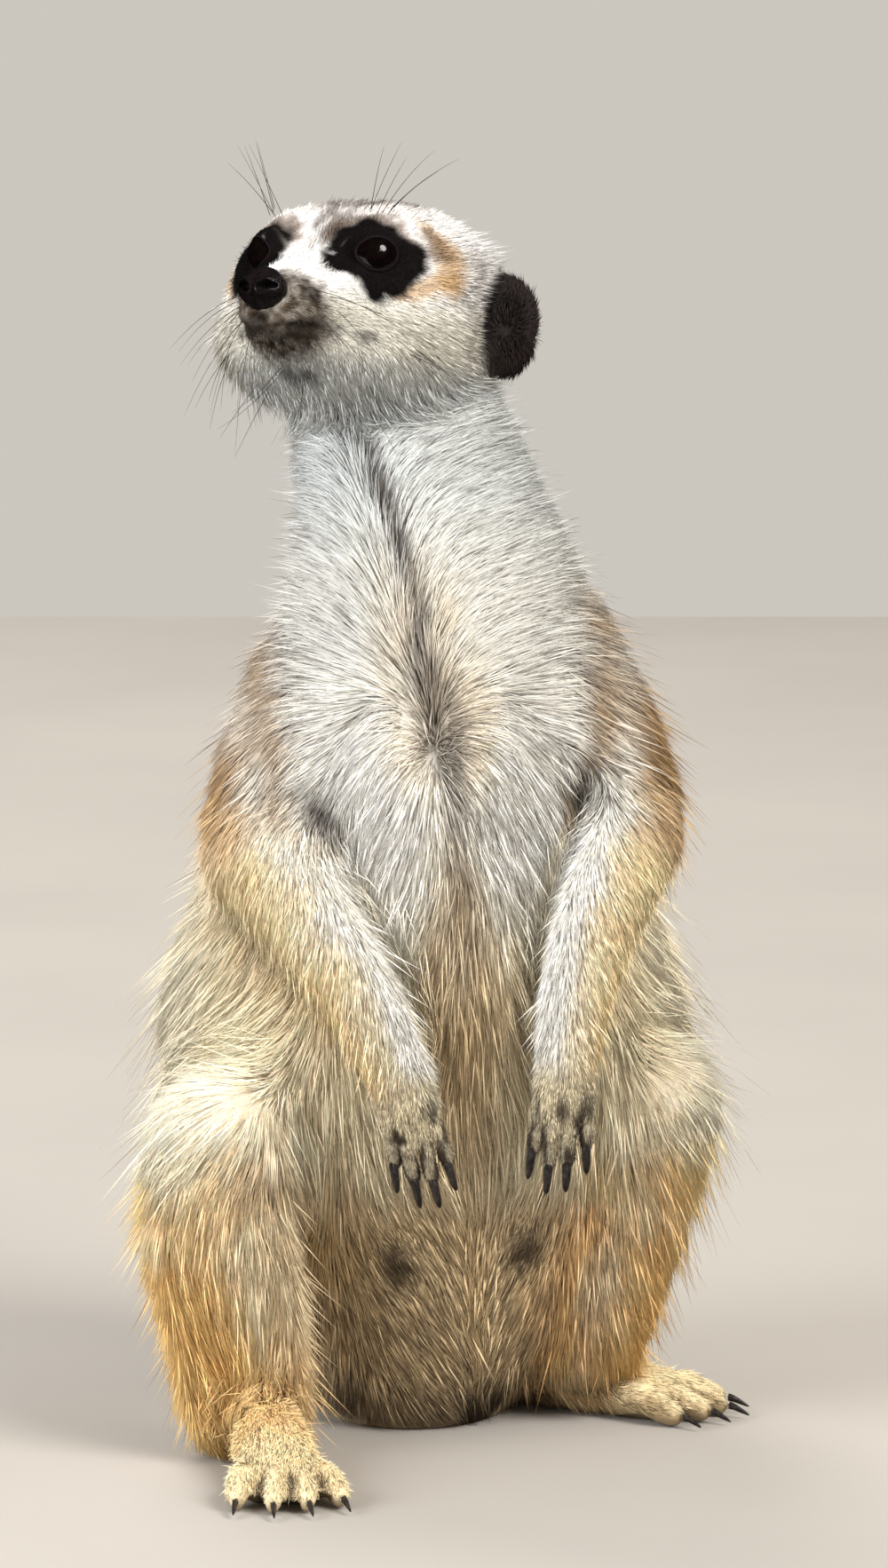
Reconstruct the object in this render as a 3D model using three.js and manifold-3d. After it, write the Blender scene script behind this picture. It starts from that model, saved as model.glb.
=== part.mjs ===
// A life-size meerkat (Suricata suricatta) sitting upright on its rump, as a still display model.
// Millimetres, +Z up. The origin is on the floor, on the flat of the rump, straight below the chest.
// The body faces -Y, "left" and "right" are the animal's own, and the left side lies towards +X.
// Every solid reaches to the tips of the coat.

import * as THREE from "three";
import { mergeVertices } from "three/addons/utils/BufferGeometryUtils.js";
import Module from "manifold-3d";

const wasm = await Module();
wasm.setup();

// ---------------------------------------------------------------- driving dimensions
const GAP = 0.3; // left open wherever two pieces meet
const FLOOR = 0; // height of every flat that the animal rests on
const UNDERSIDE = -6; // how far the soft parts are drawn below the floor before they are cut flat
const AHEAD = new THREE.Vector3(0, -1, 0); // the way the chest faces
const UP = new THREE.Vector3(0, 0, 1);

const NECK_BASE = 184; // height of the cut between chest and neck
const WAIST = 122; // height of the cut between chest and belly
const HIP_LINE = 62; // height of the cut between belly and rump

const HEAD_AT = new THREE.Vector3(-17.3, -8, 254.6); // middle of the braincase
const HEAD_YAW = 30; // degrees that the nose is turned to the animal's right
const HEAD_LIFT = 12; // degrees that the nose is raised
const HEAD_ROLL = 2; // degrees, the left eye a little the higher
const EYE_RADIUS = 5.2;
const EYE_AT = new THREE.Vector3(16, 13.8, 5);
const EAR_HEIGHT = 22.5;
const EAR_WIDTH = 15;
const EAR_THICKNESS = 7.2; // of the flap before its cup is hollowed
const EAR_RIM = 1.6; // round the cup
const EAR_AT = new THREE.Vector3(-17.5, 28, -6);
const EAR_TURN = 52; // degrees from straight ahead to the way the cup of the ear faces

const FOREPAW = {
  palmLength: 9, palmWidth: 14, palmDepth: 9,
  toeLength: 11.5, toeWidth: 2.9, toeSpread: 2.5,
  clawLength: 5.4, clawWidth: 2.1, clawHook: 1.2,
};
const HINDFOOT = {
  soleLength: 50, heelWidth: 14, ballWidth: 20,
  toeLength: 12, toeWidth: 5.8, toeHeight: 7, toeSpread: 12,
  clawLength: 7.5, clawWidth: 2.6, clawHook: 2.2,
};
const CLAW_TAPER = 0.72; // of a claw's thickness lost between its root and its point
const CLAW_NAMES = ["inner", "second", "third", "outer"];

// A row of a body table: x, y, z of the middle, then half width, depth ahead of it, depth behind it.
const TORSO = [
  [-8, 14, UNDERSIDE, 18, 25, 25],
  [-6, 14, 9, 27, 33, 36],
  [-1, 13, 30, 42, 40, 42],
  [-1, 9, 57, 52, 45, 46],
  [-3, 5, 86, 58, 47, 47],
  [-2.5, 3, 105, 55, 44, 44],
  [-1, 1, 126, 48, 40, 39],
  [0, 0, 150, 42, 36, 34],
  [0, -1, 172, 38, 32, 31],
  [-1, -2, 189, 33.5, 28, 28],
  [-3.5, -2.5, 204, 28, 25, 26],
  [-7, -3, 219, 25, 22, 24],
  [-12, -3.5, 236, 22, 18, 21],
];
const TAIL = [
  [0, 44, 22, 15, 15, 15],
  [1, 62, 13.5, 12.5, 12, 13],
  [4, 84, 10, 10.5, 10, 10.5],
  [9, 122, 8.4, 9, 9, 8.8],
  [9, 165, 7.2, 7.8, 7.8, 7.6],
  [3, 208, 5.8, 6.3, 6.3, 6.2],
  [-3, 240, 3.6, 4, 4, 4],
];
const TAIL_CUTS = [108, 176]; // distances behind the origin where the tail is divided

const UPPER_ARM = {
  right: [[-22, -2, 176, 14, 15, 16], [-30, -6, 160, 14.5, 14, 15.5],
    [-36, -12, 143, 13.5, 12.5, 14.5], [-39.5, -17, 131, 13, 12, 14]],
  left: [[24, -2, 177, 15, 15, 16], [33.5, -6, 161, 14.3, 14, 15.5],
    [39.5, -12, 146, 13.5, 12.5, 14.5], [42, -17, 136, 13, 12, 14]],
};
const FOREARM = {
  right: [[-39.5, -18, 131, 13, 12, 14], [-31, -29, 124, 12, 10.5, 12], [-19, -40, 109, 10, 8.8, 9.5],
    [-11.5, -46.5, 96, 8.6, 7.2, 7.8], [-7, -50, 85, 7.2, 5.6, 6]],
  left: [[42, -18, 136, 13, 11, 13], [38, -29, 126, 11.3, 9.5, 11],
    [31.5, -41, 108, 8.6, 7.6, 8.2], [28.6, -48.5, 91, 6.9, 5.6, 6]],
};
const WRIST = {
  right: { at: [-6.2, -50.8, 83], along: [0.2, -0.06, -0.98] },
  left: { at: [28.4, -49.5, 86.5], along: [-0.08, -0.06, -0.99] },
};
const THIGH = {
  right: [[-23, 18, 42, 27, 28, 28], [-37, -8, 58, 23, 25, 24], [-47, -36, 69, 18, 17, 19]],
  left: [[23, 22, 42, 27, 28, 28], [38, 4, 62, 23, 23, 24], [48.5, -13, 74, 15.4, 16, 18]],
};
const SHIN = {
  right: [[-48, -37, 56, 17, 14.5, 17], [-46, -40, 40, 16.2, 14, 17],
    [-43, -40, 24, 15.2, 12.5, 16], [-41.5, -39, 9, 14.5, 10, 13]],
  left: [[45.5, -11, 60, 13.8, 14, 17], [40.8, -9, 46, 13.2, 13.5, 17],
    [36, -5, 30, 13.8, 12, 15], [30, 3, 14, 12.5, 9, 12]],
};
const HEEL = {
  right: { at: [-37.5, -42, 0], toesTurn: -83 },
  left: { at: [12.5, 23, 0], toesTurn: -27 },
};

// The head's table runs from the back of the skull to the nose: x, middle height, half width, top, bottom.
const HEAD = [
  [-21, -3, 22, 19.5, 13],
  [-13, -4, 29, 25, 18],
  [-3, -6, 29.5, 25.8, 21],
  [6, -8, 29.5, 24.5, 20.5],
  [14, -9, 24.5, 20.5, 17.5],
  [22, -9, 16, 15, 13.5],
  [30, -8.8, 10.4, 10.4, 9.8],
  [37, -8.4, 7.6, 6.6, 7.8],
];
const NOSE_AT = new THREE.Vector3(39.4, 0, -5.8);
const NOSE_RADII = new THREE.Vector3(4.3, 5.5, 4.9);
const MOUTH = { height: -13, corner: 20 }; // the jaw lies below the one and in front of the other

// ---------------------------------------------------------------- shapes
/** A closed manifold-3d solid from any closed three.js geometry. */
function solidOf(geometry) {
  const bare = geometry.clone();
  bare.deleteAttribute("normal");
  bare.deleteAttribute("uv");
  const merged = mergeVertices(bare, 1e-4);
  return new wasm.Manifold(new wasm.Mesh({
    numProp: 3,
    vertProperties: merged.attributes.position.array,
    triVerts: new Uint32Array(merged.index.array),
  }));
}

/** The surface of a solid as a BufferGeometry. */
function geometryOf(solid) {
  const mesh = solid.getMesh();
  const geometry = new THREE.BufferGeometry();
  geometry.setAttribute("position", new THREE.BufferAttribute(new Float32Array(mesh.vertProperties), 3));
  geometry.setIndex(new THREE.BufferAttribute(new Uint32Array(mesh.triVerts), 1));
  return geometry;
}

/** A solid carried from one frame into another. */
const moved = (solid, matrix) => solidOf(geometryOf(solid).applyMatrix4(matrix));

/** The six-number rows of a table as two curves that run together, one of places and one of radii. */
function curvesOf(rows) {
  const curve = (first) => new THREE.CatmullRomCurve3(
    rows.map((row) => new THREE.Vector3(...row.slice(first, first + 3))), false, "catmullrom", 0.5);
  return { places: curve(0), radii: curve(3) };
}

/**
 * A round-ended tube through the rows of a body table. `ahead` is the side that the fourth and fifth
 * numbers of a row tell apart, `boxy` bulges the section's corners from an ellipse's 2 upwards, and
 * `grow` makes the whole tube that much fatter all round.
 */
function tube(rows, { rings, sides, ahead = AHEAD, boxy = 2, capRings = 2, roundness = 1, grow = 0 }) {
  const { places, radii } = curvesOf(rows);
  const sizeAt = (t) => radii.getPoint(t).addScalar(grow);
  const middleAt = (t, shift) => {
    const reach = shift * Math.min(...sizeAt(t).toArray());
    return places.getPoint(t).addScaledVector(places.getTangent(t), reach);
  };
  const sectionAt = (t, shrink, shift) => {
    const along = places.getTangent(t);
    const front = ahead.clone().addScaledVector(along, -ahead.dot(along)).normalize();
    const side = new THREE.Vector3().crossVectors(front, along);
    const size = sizeAt(t);
    return Array.from({ length: sides }, (_, i) => {
      const angle = (2 * Math.PI * i) / sides;
      const [across, forward] = [Math.cos(angle), Math.sin(angle)].map(
        (part) => Math.sign(part) * Math.abs(part) ** (2 / boxy));
      return middleAt(t, shift)
        .addScaledVector(side, shrink * size.x * across)
        .addScaledVector(front, shrink * (forward > 0 ? size.y : size.z) * forward);
    });
  };
  const bends = Array.from({ length: capRings - 1 }, (_, k) => ((k + 1) / capRings) * (Math.PI / 2));
  const sections = [
    ...bends.toReversed().map((bend) => sectionAt(0, Math.cos(bend), -roundness * Math.sin(bend))),
    ...Array.from({ length: rings + 1 }, (_, i) => sectionAt(i / rings, 1, 0)),
    ...bends.map((bend) => sectionAt(1, Math.cos(bend), roundness * Math.sin(bend))),
  ];
  return closedLoft(sections, middleAt(0, -roundness), middleAt(1, roundness));
}

/** The closed solid through like-numbered rings of points, with a pole at either end. */
function closedLoft(sections, firstPole, lastPole) {
  const sides = sections[0].length;
  const points = [firstPole, ...sections.flat(), lastPole];
  const last = points.length - 1;
  const faces = [];
  const at = (ring, i) => 1 + ring * sides + (i % sides);
  for (let i = 0; i < sides; i += 1) {
    faces.push(0, at(0, i + 1), at(0, i));
    for (let ring = 0; ring < sections.length - 1; ring += 1) {
      faces.push(at(ring, i), at(ring, i + 1), at(ring + 1, i));
      faces.push(at(ring, i + 1), at(ring + 1, i + 1), at(ring + 1, i));
    }
    faces.push(last, at(sections.length - 1, i), at(sections.length - 1, i + 1));
  }
  const geometry = new THREE.BufferGeometry().setFromPoints(points);
  geometry.setIndex(faces);
  return solidOf(geometry);
}

/** An ellipsoid, turned about +Z by `turn` degrees. */
function ellipsoid(at, radii, { sides, turn = 0, grow = 0 }) {
  const geometry = new THREE.SphereGeometry(1, sides, Math.round(sides * 0.6));
  geometry.scale(radii.x + grow, radii.y + grow, radii.z + grow);
  geometry.rotateZ(THREE.MathUtils.degToRad(turn));
  geometry.translate(at.x, at.y, at.z);
  return solidOf(geometry);
}

/** A box between two corners. */
function block(low, high) {
  const geometry = new THREE.BoxGeometry(high[0] - low[0], high[1] - low[1], high[2] - low[2]);
  geometry.translate((low[0] + high[0]) / 2, (low[1] + high[1]) / 2, (low[2] + high[2]) / 2);
  return solidOf(geometry);
}

const FAR = 500; // beyond every part of the animal
const above = (z) => block([-FAR, -FAR, z], [FAR, FAR, FAR]);
const between = (low, high) => block([-FAR, -FAR, low + GAP / 2], [FAR, FAR, high - GAP / 2]);
const behind = (low, high) => block([-FAR, low + GAP / 2, -FAR], [FAR, high - GAP / 2, FAR]);

/** The point with a mirrored left-right place, for the side of the body asked for. */
const onSide = (point, side) => new THREE.Vector3(point.x, side === "left" ? point.y : -point.y, point.z);

// ---------------------------------------------------------------- head, in its own frame: +X to the nose
const headShape = (grow) => {
  const rows = HEAD.map(([x, z, halfWidth, top, bottom]) => [x, 0, z, halfWidth, top, bottom]);
  return tube(rows, { rings: 10, sides: 18, ahead: UP, boxy: 2.6, roundness: 0.75, grow });
};
const eyeShape = (side, grow) => {
  const radii = new THREE.Vector3(EYE_RADIUS, EYE_RADIUS, EYE_RADIUS);
  return ellipsoid(onSide(EYE_AT, side), radii, { grow, sides: 12 });
};
const noseShape = (grow) => ellipsoid(NOSE_AT, NOSE_RADII, { grow, sides: 12 });

/** A cupped ear flap: a flat ellipsoid hollowed on the side that faces forwards and out. */
function earShape(side, grow) {
  const turn = side === "left" ? EAR_TURN : -EAR_TURN;
  const facing = new THREE.Vector3(1, 0, 0).applyAxisAngle(UP, THREE.MathUtils.degToRad(turn));
  const at = onSide(EAR_AT, side);
  const flapRadii = new THREE.Vector3(EAR_THICKNESS / 2, EAR_WIDTH / 2, EAR_HEIGHT / 2);
  const cupRadii = flapRadii.clone().addScalar(-EAR_RIM).setX(EAR_THICKNESS / 2);
  const flap = ellipsoid(at, flapRadii, { turn, grow, sides: 13 });
  const cupAt = at.clone().addScaledVector(facing, EAR_THICKNESS / 2);
  return flap.subtract(ellipsoid(cupAt, cupRadii, { turn, grow: -grow, sides: 10 }));
}

const headGroup = new THREE.Group();
headGroup.position.copy(HEAD_AT);
headGroup.rotation.set(
  THREE.MathUtils.degToRad(HEAD_ROLL), -THREE.MathUtils.degToRad(HEAD_LIFT),
  -Math.PI / 2 - THREE.MathUtils.degToRad(HEAD_YAW), "ZYX");

// ---------------------------------------------------------------- materials
const finish = (name, colour, roughness) => {
  const material = new THREE.MeshStandardMaterial({ color: colour, roughness, metalness: 0 });
  material.name = name;
  return material;
};
const PALE_COAT = finish("pale_coat", 0xd9d4c8, 0.9);
const SANDY_COAT = finish("sandy_coat", 0xc9ab78, 0.9);
const DARK_COAT = finish("dark_coat", 0x2a221f, 0.85);
const NOSE_SKIN = finish("nose_skin", 0x1c1516, 0.45);
const EYE_GLASS = finish("eye_glass", 0x120b08, 0.05);
const CLAW_HORN = finish("claw_horn", 0x2b2725, 0.5);

// ---------------------------------------------------------------- assembly
const meerkat = new THREE.Group();
const placed = []; // every solid made so far, in the whole animal's frame, grown by the gap

/** Adds a named piece to a group, cut clear of all that was placed before it, and set at its own middle. */
function addPiece(name, material, shape, group = meerkat) {
  group.updateMatrixWorld(true);
  const toWorld = group.matrixWorld;
  let solid = moved(shape(0), toWorld);
  for (const other of placed) solid = solid.subtract(other);
  placed.push(moved(shape(GAP), toWorld));
  const geometry = geometryOf(largestBody(solid.intersect(above(FLOOR))));
  geometry.applyMatrix4(toWorld.clone().invert());
  geometry.computeBoundingBox();
  const middle = geometry.boundingBox.getCenter(new THREE.Vector3());
  geometry.translate(-middle.x, -middle.y, -middle.z);
  geometry.computeVertexNormals();
  const mesh = new THREE.Mesh(geometry, material);
  mesh.name = name;
  mesh.position.copy(middle);
  group.add(mesh);
}

/** The largest of the bodies that a cut leaves, without the slivers. */
function largestBody(solid) {
  return solid.decompose().reduce((best, body) => (body.volume() > best.volume() ? body : best));
}

function addHead() {
  meerkat.add(headGroup);
  for (const side of ["left", "right"]) {
    addPiece(`eye_${side}`, EYE_GLASS, (grow) => eyeShape(side, grow), headGroup);
  }
  addPiece("nose", NOSE_SKIN, noseShape, headGroup);
  addPiece("lower_jaw", PALE_COAT, (grow) => {
    const room = block([MOUTH.corner - grow, -FAR, -FAR], [FAR, FAR, MOUTH.height + grow]);
    return headShape(grow).intersect(room);
  }, headGroup);
  addPiece("head", PALE_COAT, headShape, headGroup);
  for (const side of ["left", "right"]) {
    addPiece(`ear_${side}`, DARK_COAT, (grow) => earShape(side, grow), headGroup);
  }
}

function addTorso() {
  const torso = (grow) => tube(TORSO, { rings: 12, sides: 19, grow });
  const lengths = [
    ["rump", SANDY_COAT, UNDERSIDE * 2, HIP_LINE],
    ["belly", SANDY_COAT, HIP_LINE, WAIST],
    ["chest", PALE_COAT, WAIST, NECK_BASE],
    ["neck", PALE_COAT, NECK_BASE, FAR],
  ];
  for (const [name, material, low, high] of lengths) {
    addPiece(name, material, (grow) => torso(grow).intersect(between(low, high)));
  }
}

function addTail() {
  const tail = (grow) => tube(TAIL, { rings: 12, sides: 10, ahead: UP, roundness: 1.4, grow });
  const [rootEnd, tipStart] = TAIL_CUTS;
  addPiece("tail_root", SANDY_COAT, (grow) => tail(grow).intersect(behind(0, rootEnd)));
  addPiece("tail_middle", SANDY_COAT, (grow) => tail(grow).intersect(behind(rootEnd, tipStart)));
  addPiece("tail_tip", DARK_COAT, (grow) => tail(grow).intersect(behind(tipStart, FAR)));
}

/**
 * One digit and its claw, in a paw's frame: +X along the paw and +Z out of its back. `place` is its
 * root and its turn sideways in degrees, and the digit comes down or up to `toesLevel` at its end.
 */
function digit(size, place, toesLevel) {
  const turn = THREE.MathUtils.degToRad(place.turn);
  const along = new THREE.Vector3(Math.cos(turn), Math.sin(turn), 0);
  const point = (distance, height) => [
    place.x + along.x * distance, place.y + along.y * distance, height];
  const half = size.toeWidth / 2;
  const high = (size.toeHeight ?? size.toeWidth) / 2;
  const arch = size.toeLength * 0.12;
  const row = (distance, height, scale) =>
    [...point(distance * size.toeLength, height), half * scale, high * scale, high * scale];
  const toe = (grow) => tube([
    row(-0.35, place.z, 1), row(0.3, place.z + arch, 1.02), row(0.72, place.z * 0.7 + toesLevel * 0.3, 1),
    row(1, toesLevel, 0.82),
  ], { rings: 3, sides: 6, ahead: UP, grow });
  const claw = (grow) => {
    const start = size.toeLength * 0.97;
    const rows = [0, 0.35, 0.7, 1].map((share) => {
      const thickness = (size.clawWidth / 2) * (1 - CLAW_TAPER * share ** 1.4);
      const height = toesLevel + high * 0.12 - size.clawHook * share ** 2;
      return [...point(start + size.clawLength * share, height), thickness * 0.8, thickness, thickness];
    });
    return tube(rows, { rings: 2, sides: 5, ahead: UP, capRings: 1, grow });
  };
  return { toe, claw };
}

/**
 * The four digits of a paw, spread evenly over `width`, from the inner side out. `side` says which side
 * is inner, and each of `lengths` is how far its digit stands beyond `startX`.
 */
function digitsOf(size, side, { startX, width, level, toesLevel, lengths }) {
  const sign = side === "left" ? 1 : -1;
  return lengths.map((reach, i) => {
    const share = (i - 1.5) / 1.5; // -1 at the inner digit, 1 at the outer
    const place = {
      x: startX + reach,
      y: sign * share * (width / 2 - size.toeWidth / 2),
      z: level,
      turn: sign * share * size.toeSpread,
    };
    return digit(size, place, toesLevel);
  });
}

function addPaw(name, paw, group, side, digits) {
  const whole = (grow) => digits.reduce((joined, { toe }) => joined.add(toe(grow)), paw(grow));
  addPiece(name, PALE_COAT, whole, group);
  digits.forEach(({ claw }, i) => addPiece(`${name}_claw_${CLAW_NAMES[i]}`, CLAW_HORN, claw, group));
}

function addArm(side) {
  const shape = (rows, rings) => (grow) => tube(rows, { rings, sides: 10, grow });
  addPiece(`forearm_${side}`, PALE_COAT, shape(FOREARM[side], 6));
  addPiece(`upper_arm_${side}`, SANDY_COAT, shape(UPPER_ARM[side], 4));

  const { at, along } = WRIST[side];
  const x = new THREE.Vector3(...along).normalize();
  const z = AHEAD.clone().addScaledVector(x, -AHEAD.dot(x)).normalize();
  const y = new THREE.Vector3().crossVectors(z, x);
  const hand = new THREE.Group();
  hand.position.set(...at);
  hand.quaternion.setFromRotationMatrix(new THREE.Matrix4().makeBasis(x, y, z));
  meerkat.add(hand);
  const size = FOREPAW;
  const wristRadii = [6.6, 5, 5];
  const palm = (grow) => tube([
    [-2, 0, 0, ...wristRadii],
    [size.palmLength * 0.5, 0, 0.4, size.palmWidth / 2, size.palmDepth / 2, size.palmDepth / 2],
    [size.palmLength, 0, 0, size.palmWidth / 2 - 1, 3.2, 3.2],
  ], { rings: 3, sides: 10, ahead: UP, roundness: 0.6, grow });
  const digits = digitsOf(size, side, {
    startX: size.palmLength + 0.4, width: size.palmWidth, level: 0.4, toesLevel: -1.2,
    lengths: [-2.6, 0.4, -0.4, -4.6],
  });
  addPaw(`forepaw_${side}`, palm, hand, side, digits);
}

function addLeg(side) {
  const thigh = (grow) => tube(THIGH[side], { rings: 4, sides: 13, capRings: 3, grow });
  addPiece(`thigh_${side}`, SANDY_COAT, thigh);
  const { at, toesTurn } = HEEL[side];
  const foot = new THREE.Group();
  foot.position.set(...at);
  foot.rotation.z = THREE.MathUtils.degToRad(toesTurn);
  meerkat.add(foot);
  const size = HINDFOOT;
  const heelHeight = 7.5;
  const sole = (grow) => tube([
    [2, 0, 6, size.heelWidth / 2, heelHeight, heelHeight],
    [size.soleLength * 0.3, 0, 6.5, size.heelWidth / 2 + 1, 9.5, 8],
    [size.soleLength * 0.62, 0, 5, size.heelWidth / 2 + 1.8, 7.5, 6.4],
    [size.soleLength * 0.9, 0, 3.6, size.ballWidth / 2, 5.2, 4.6],
  ], { rings: 4, sides: 10, ahead: UP, roundness: 0.5, grow });
  const digits = digitsOf(size, side, {
    startX: size.soleLength * 0.86, width: size.ballWidth + 3, level: 4, toesLevel: 2.9,
    lengths: [-3, 0, 0.6, -3],
  });
  addPaw(`hindfoot_${side}`, sole, foot, side, digits);
  addPiece(`shin_${side}`, SANDY_COAT, (grow) => tube(SHIN[side], { rings: 4, sides: 12, grow }));
}

addHead();
addTorso();
for (const side of ["left", "right"]) {
  addLeg(side);
  addArm(side);
}
addTail();

export default meerkat;
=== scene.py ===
"""The looks of a life-size meerkat that sits upright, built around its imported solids.

One skin takes the place of every node of flesh. Over it lies the coat, thin closed tufts that follow the
lie of the hair. Eyes, lid rims, nose, claws and whiskers are pieces of their own. Arrays hold millimetres,
which become metres when a mesh is made.
"""

import logging
import math
from dataclasses import dataclass, field
from enum import Enum

import bmesh
import bpy
import numpy as np
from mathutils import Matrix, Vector
from mathutils.bvhtree import BVHTree
from mathutils.kdtree import KDTree


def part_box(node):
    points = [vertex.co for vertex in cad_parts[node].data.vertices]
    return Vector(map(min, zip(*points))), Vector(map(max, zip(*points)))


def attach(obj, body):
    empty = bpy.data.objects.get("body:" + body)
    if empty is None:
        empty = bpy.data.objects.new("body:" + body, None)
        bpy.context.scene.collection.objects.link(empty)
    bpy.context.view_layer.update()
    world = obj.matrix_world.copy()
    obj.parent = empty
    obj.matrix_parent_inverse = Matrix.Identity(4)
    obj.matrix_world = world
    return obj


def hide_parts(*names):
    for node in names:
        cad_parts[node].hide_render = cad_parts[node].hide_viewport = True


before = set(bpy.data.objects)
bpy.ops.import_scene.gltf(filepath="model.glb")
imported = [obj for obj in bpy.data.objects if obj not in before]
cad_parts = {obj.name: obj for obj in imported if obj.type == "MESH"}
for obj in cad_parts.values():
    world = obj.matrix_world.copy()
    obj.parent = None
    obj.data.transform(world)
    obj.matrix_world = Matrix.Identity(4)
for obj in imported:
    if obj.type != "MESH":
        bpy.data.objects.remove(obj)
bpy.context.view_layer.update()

Array = np.ndarray
Pair = tuple[Array, Array]
Shape = Pair
Material = bpy.types.Material
Socket = bpy.types.NodeSocket

LOG = logging.getLogger("meerkat")
MM = 0.001
SEED = 11
BODY = "root"
SIDES = {"left": 1, "right": -1}
DIGITS = ("inner", "second", "third", "outer")
UP = np.array([0.0, 0.0, 1.0])


# ---- numbers and fields
def lengths(vectors: Array) -> Array:
    """The length of each row."""
    return np.linalg.norm(vectors, axis=-1)


def dot(first: Array, second: Array) -> Array:
    """The product of each row with its partner."""
    return (first * second).sum(axis=-1)


def unit(vectors: Array) -> Array:
    """Scales each row to length one."""
    return vectors / np.maximum(np.linalg.norm(vectors, axis=-1, keepdims=True), 1e-9)


def step(low: float, high: float, values: Array) -> Array:
    """Rises smoothly from 0 at low to 1 at high."""
    share = np.clip((values - low) / (high - low), 0.0, 1.0)
    return share * share * (3 - 2 * share)


def tone(red: int, green: int, blue: int) -> Array:
    """A colour given as it looks on a screen, 0 to 255, in the linear light that shaders use."""
    share = np.array([red, green, blue]) / 255
    return np.where(share <= 0.04045, share / 12.92, ((share + 0.055) / 1.055) ** 2.4)


def screen(*levels: int) -> Array:
    """A dataclass field that holds a tone."""
    return field(default_factory=lambda: tone(*levels))


def mix(first: Array, second: Array, share: Array) -> Array:
    """Goes from the first rows to the second ones by a share for each row."""
    return first + (second - first) * share[:, None]


def layered(rows: Array, *layers: tuple) -> Array:
    """Lays further rows over the first ones in turn.

    Args:
        rows: The rows to begin with.
        layers: Pairs of what comes over them and its share for each row.

    Returns:
        The mixed rows.
    """
    for over, share in layers:
        rows = mix(rows, over, share)
    return rows


def blob(points: Array, centre: tuple, radii: tuple, soft: float = 0.3) -> Array:
    """A soft ellipsoidal mask.

    Args:
        points: Places to test.
        centre: Middle of the ellipsoid.
        radii: Its three radii, where the mask is half.
        soft: How much of the radius the edge takes.

    Returns:
        1 inside and 0 outside, one number for each point.
    """
    reach = lengths((points - centre) / np.array(radii))
    return 1 - step(1 - soft, 1 + soft, reach)


def chain(points: Array, beads: list[tuple]) -> Array:
    """How far points lie outside a chain of balls joined by cones.

    Args:
        points: Places to measure, in as many coordinates as a bead has before its radius.
        beads: Rows of a place and a radius.

    Returns:
        Distances, negative inside.
    """
    nearest = np.full(len(points), np.inf)
    for first, second in zip(beads[:-1], beads[1:]):
        start, end = np.array(first[:-1], float), np.array(second[:-1], float)
        along = end - start
        share = np.clip((points - start) @ along / (along @ along), 0, 1)
        gap = lengths(points - start - share[:, None] * along)
        nearest = np.minimum(nearest, gap - first[-1] - share * (second[-1] - first[-1]))
    return nearest


def noise(points: Array, size: float, seed: int) -> Array:
    """Smooth noise between -1 and 1.

    Args:
        points: Where it is wanted.
        size: How large its features are.
        seed: Which pattern it is.

    Returns:
        One number for each point.
    """
    count = 24
    lattice = np.random.default_rng(seed).uniform(-1, 1, (count, count, count))
    place = points / size + 1000
    low = np.floor(place).astype(int)
    share = place - low
    share = share * share * (3 - 2 * share)
    total = np.zeros(len(points))
    for corner in np.ndindex(2, 2, 2):
        weight = np.prod(np.where(np.array(corner) == 1, share, 1 - share), axis=1)
        x, y, z = ((low + corner) % count).T
        total += weight * lattice[x, y, z]
    return total


# ---- meshes
def make_object(name: str, points: Array, faces: Array, smooth: bool = True) -> bpy.types.Object:
    """Makes a mesh object from arrays.

    Args:
        name: The piece's name.
        points: Corners in millimetres.
        faces: Rows of three or four corner numbers.
        smooth: Whether the faces are shaded smoothly.

    Returns:
        The object, linked into the scene.
    """
    mesh = bpy.data.meshes.new(name)
    corners = faces.shape[1]
    mesh.vertices.add(len(points))
    mesh.vertices.foreach_set("co", (points * MM).astype(np.float32).ravel())
    mesh.loops.add(faces.size)
    mesh.loops.foreach_set("vertex_index", faces.astype(np.int32).ravel())
    mesh.polygons.add(len(faces))
    mesh.polygons.foreach_set("loop_start", np.arange(0, faces.size, corners, dtype=np.int32))
    mesh.polygons.foreach_set("use_smooth", np.full(len(faces), smooth))
    mesh.update(calc_edges=True)
    made = bpy.data.objects.new(name, mesh)
    bpy.context.scene.collection.objects.link(made)
    return made


def arrays_of(mesh: bpy.types.Mesh) -> Shape:
    """Turns a mesh into points in millimetres and triangles; the mesh itself goes."""
    points = np.empty(len(mesh.vertices) * 3, np.float32)
    mesh.vertices.foreach_get("co", points)
    mesh.calc_loop_triangles()
    faces = np.empty(len(mesh.loop_triangles) * 3, np.int32)
    mesh.loop_triangles.foreach_get("vertices", faces)
    bpy.data.meshes.remove(mesh)
    return points.reshape(-1, 3).astype(float) / MM, faces.reshape(-1, 3)


def evaluated(made: bpy.types.Object) -> bpy.types.Mesh:
    """The object's mesh with its modifiers applied; the object itself goes."""
    mesh = bpy.data.meshes.new_from_object(made.evaluated_get(bpy.context.evaluated_depsgraph_get()))
    bpy.data.objects.remove(made)
    return mesh


def solid_of(node: str) -> bmesh.types.BMesh:
    """A node's solid with the corners that its faces share made one."""
    solid = bmesh.new()
    solid.from_mesh(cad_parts[node].data)
    bmesh.ops.remove_doubles(solid, verts=solid.verts, dist=1e-6)
    return solid


def paint(made: bpy.types.Object, name: str, colours: Array) -> None:
    """Stores a colour for each corner point of a mesh."""
    layer = made.data.color_attributes.new(name, "FLOAT_COLOR", "POINT")
    solid = np.column_stack([colours, np.ones(len(colours))])
    layer.data.foreach_set("color", solid.astype(np.float32).ravel())


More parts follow.
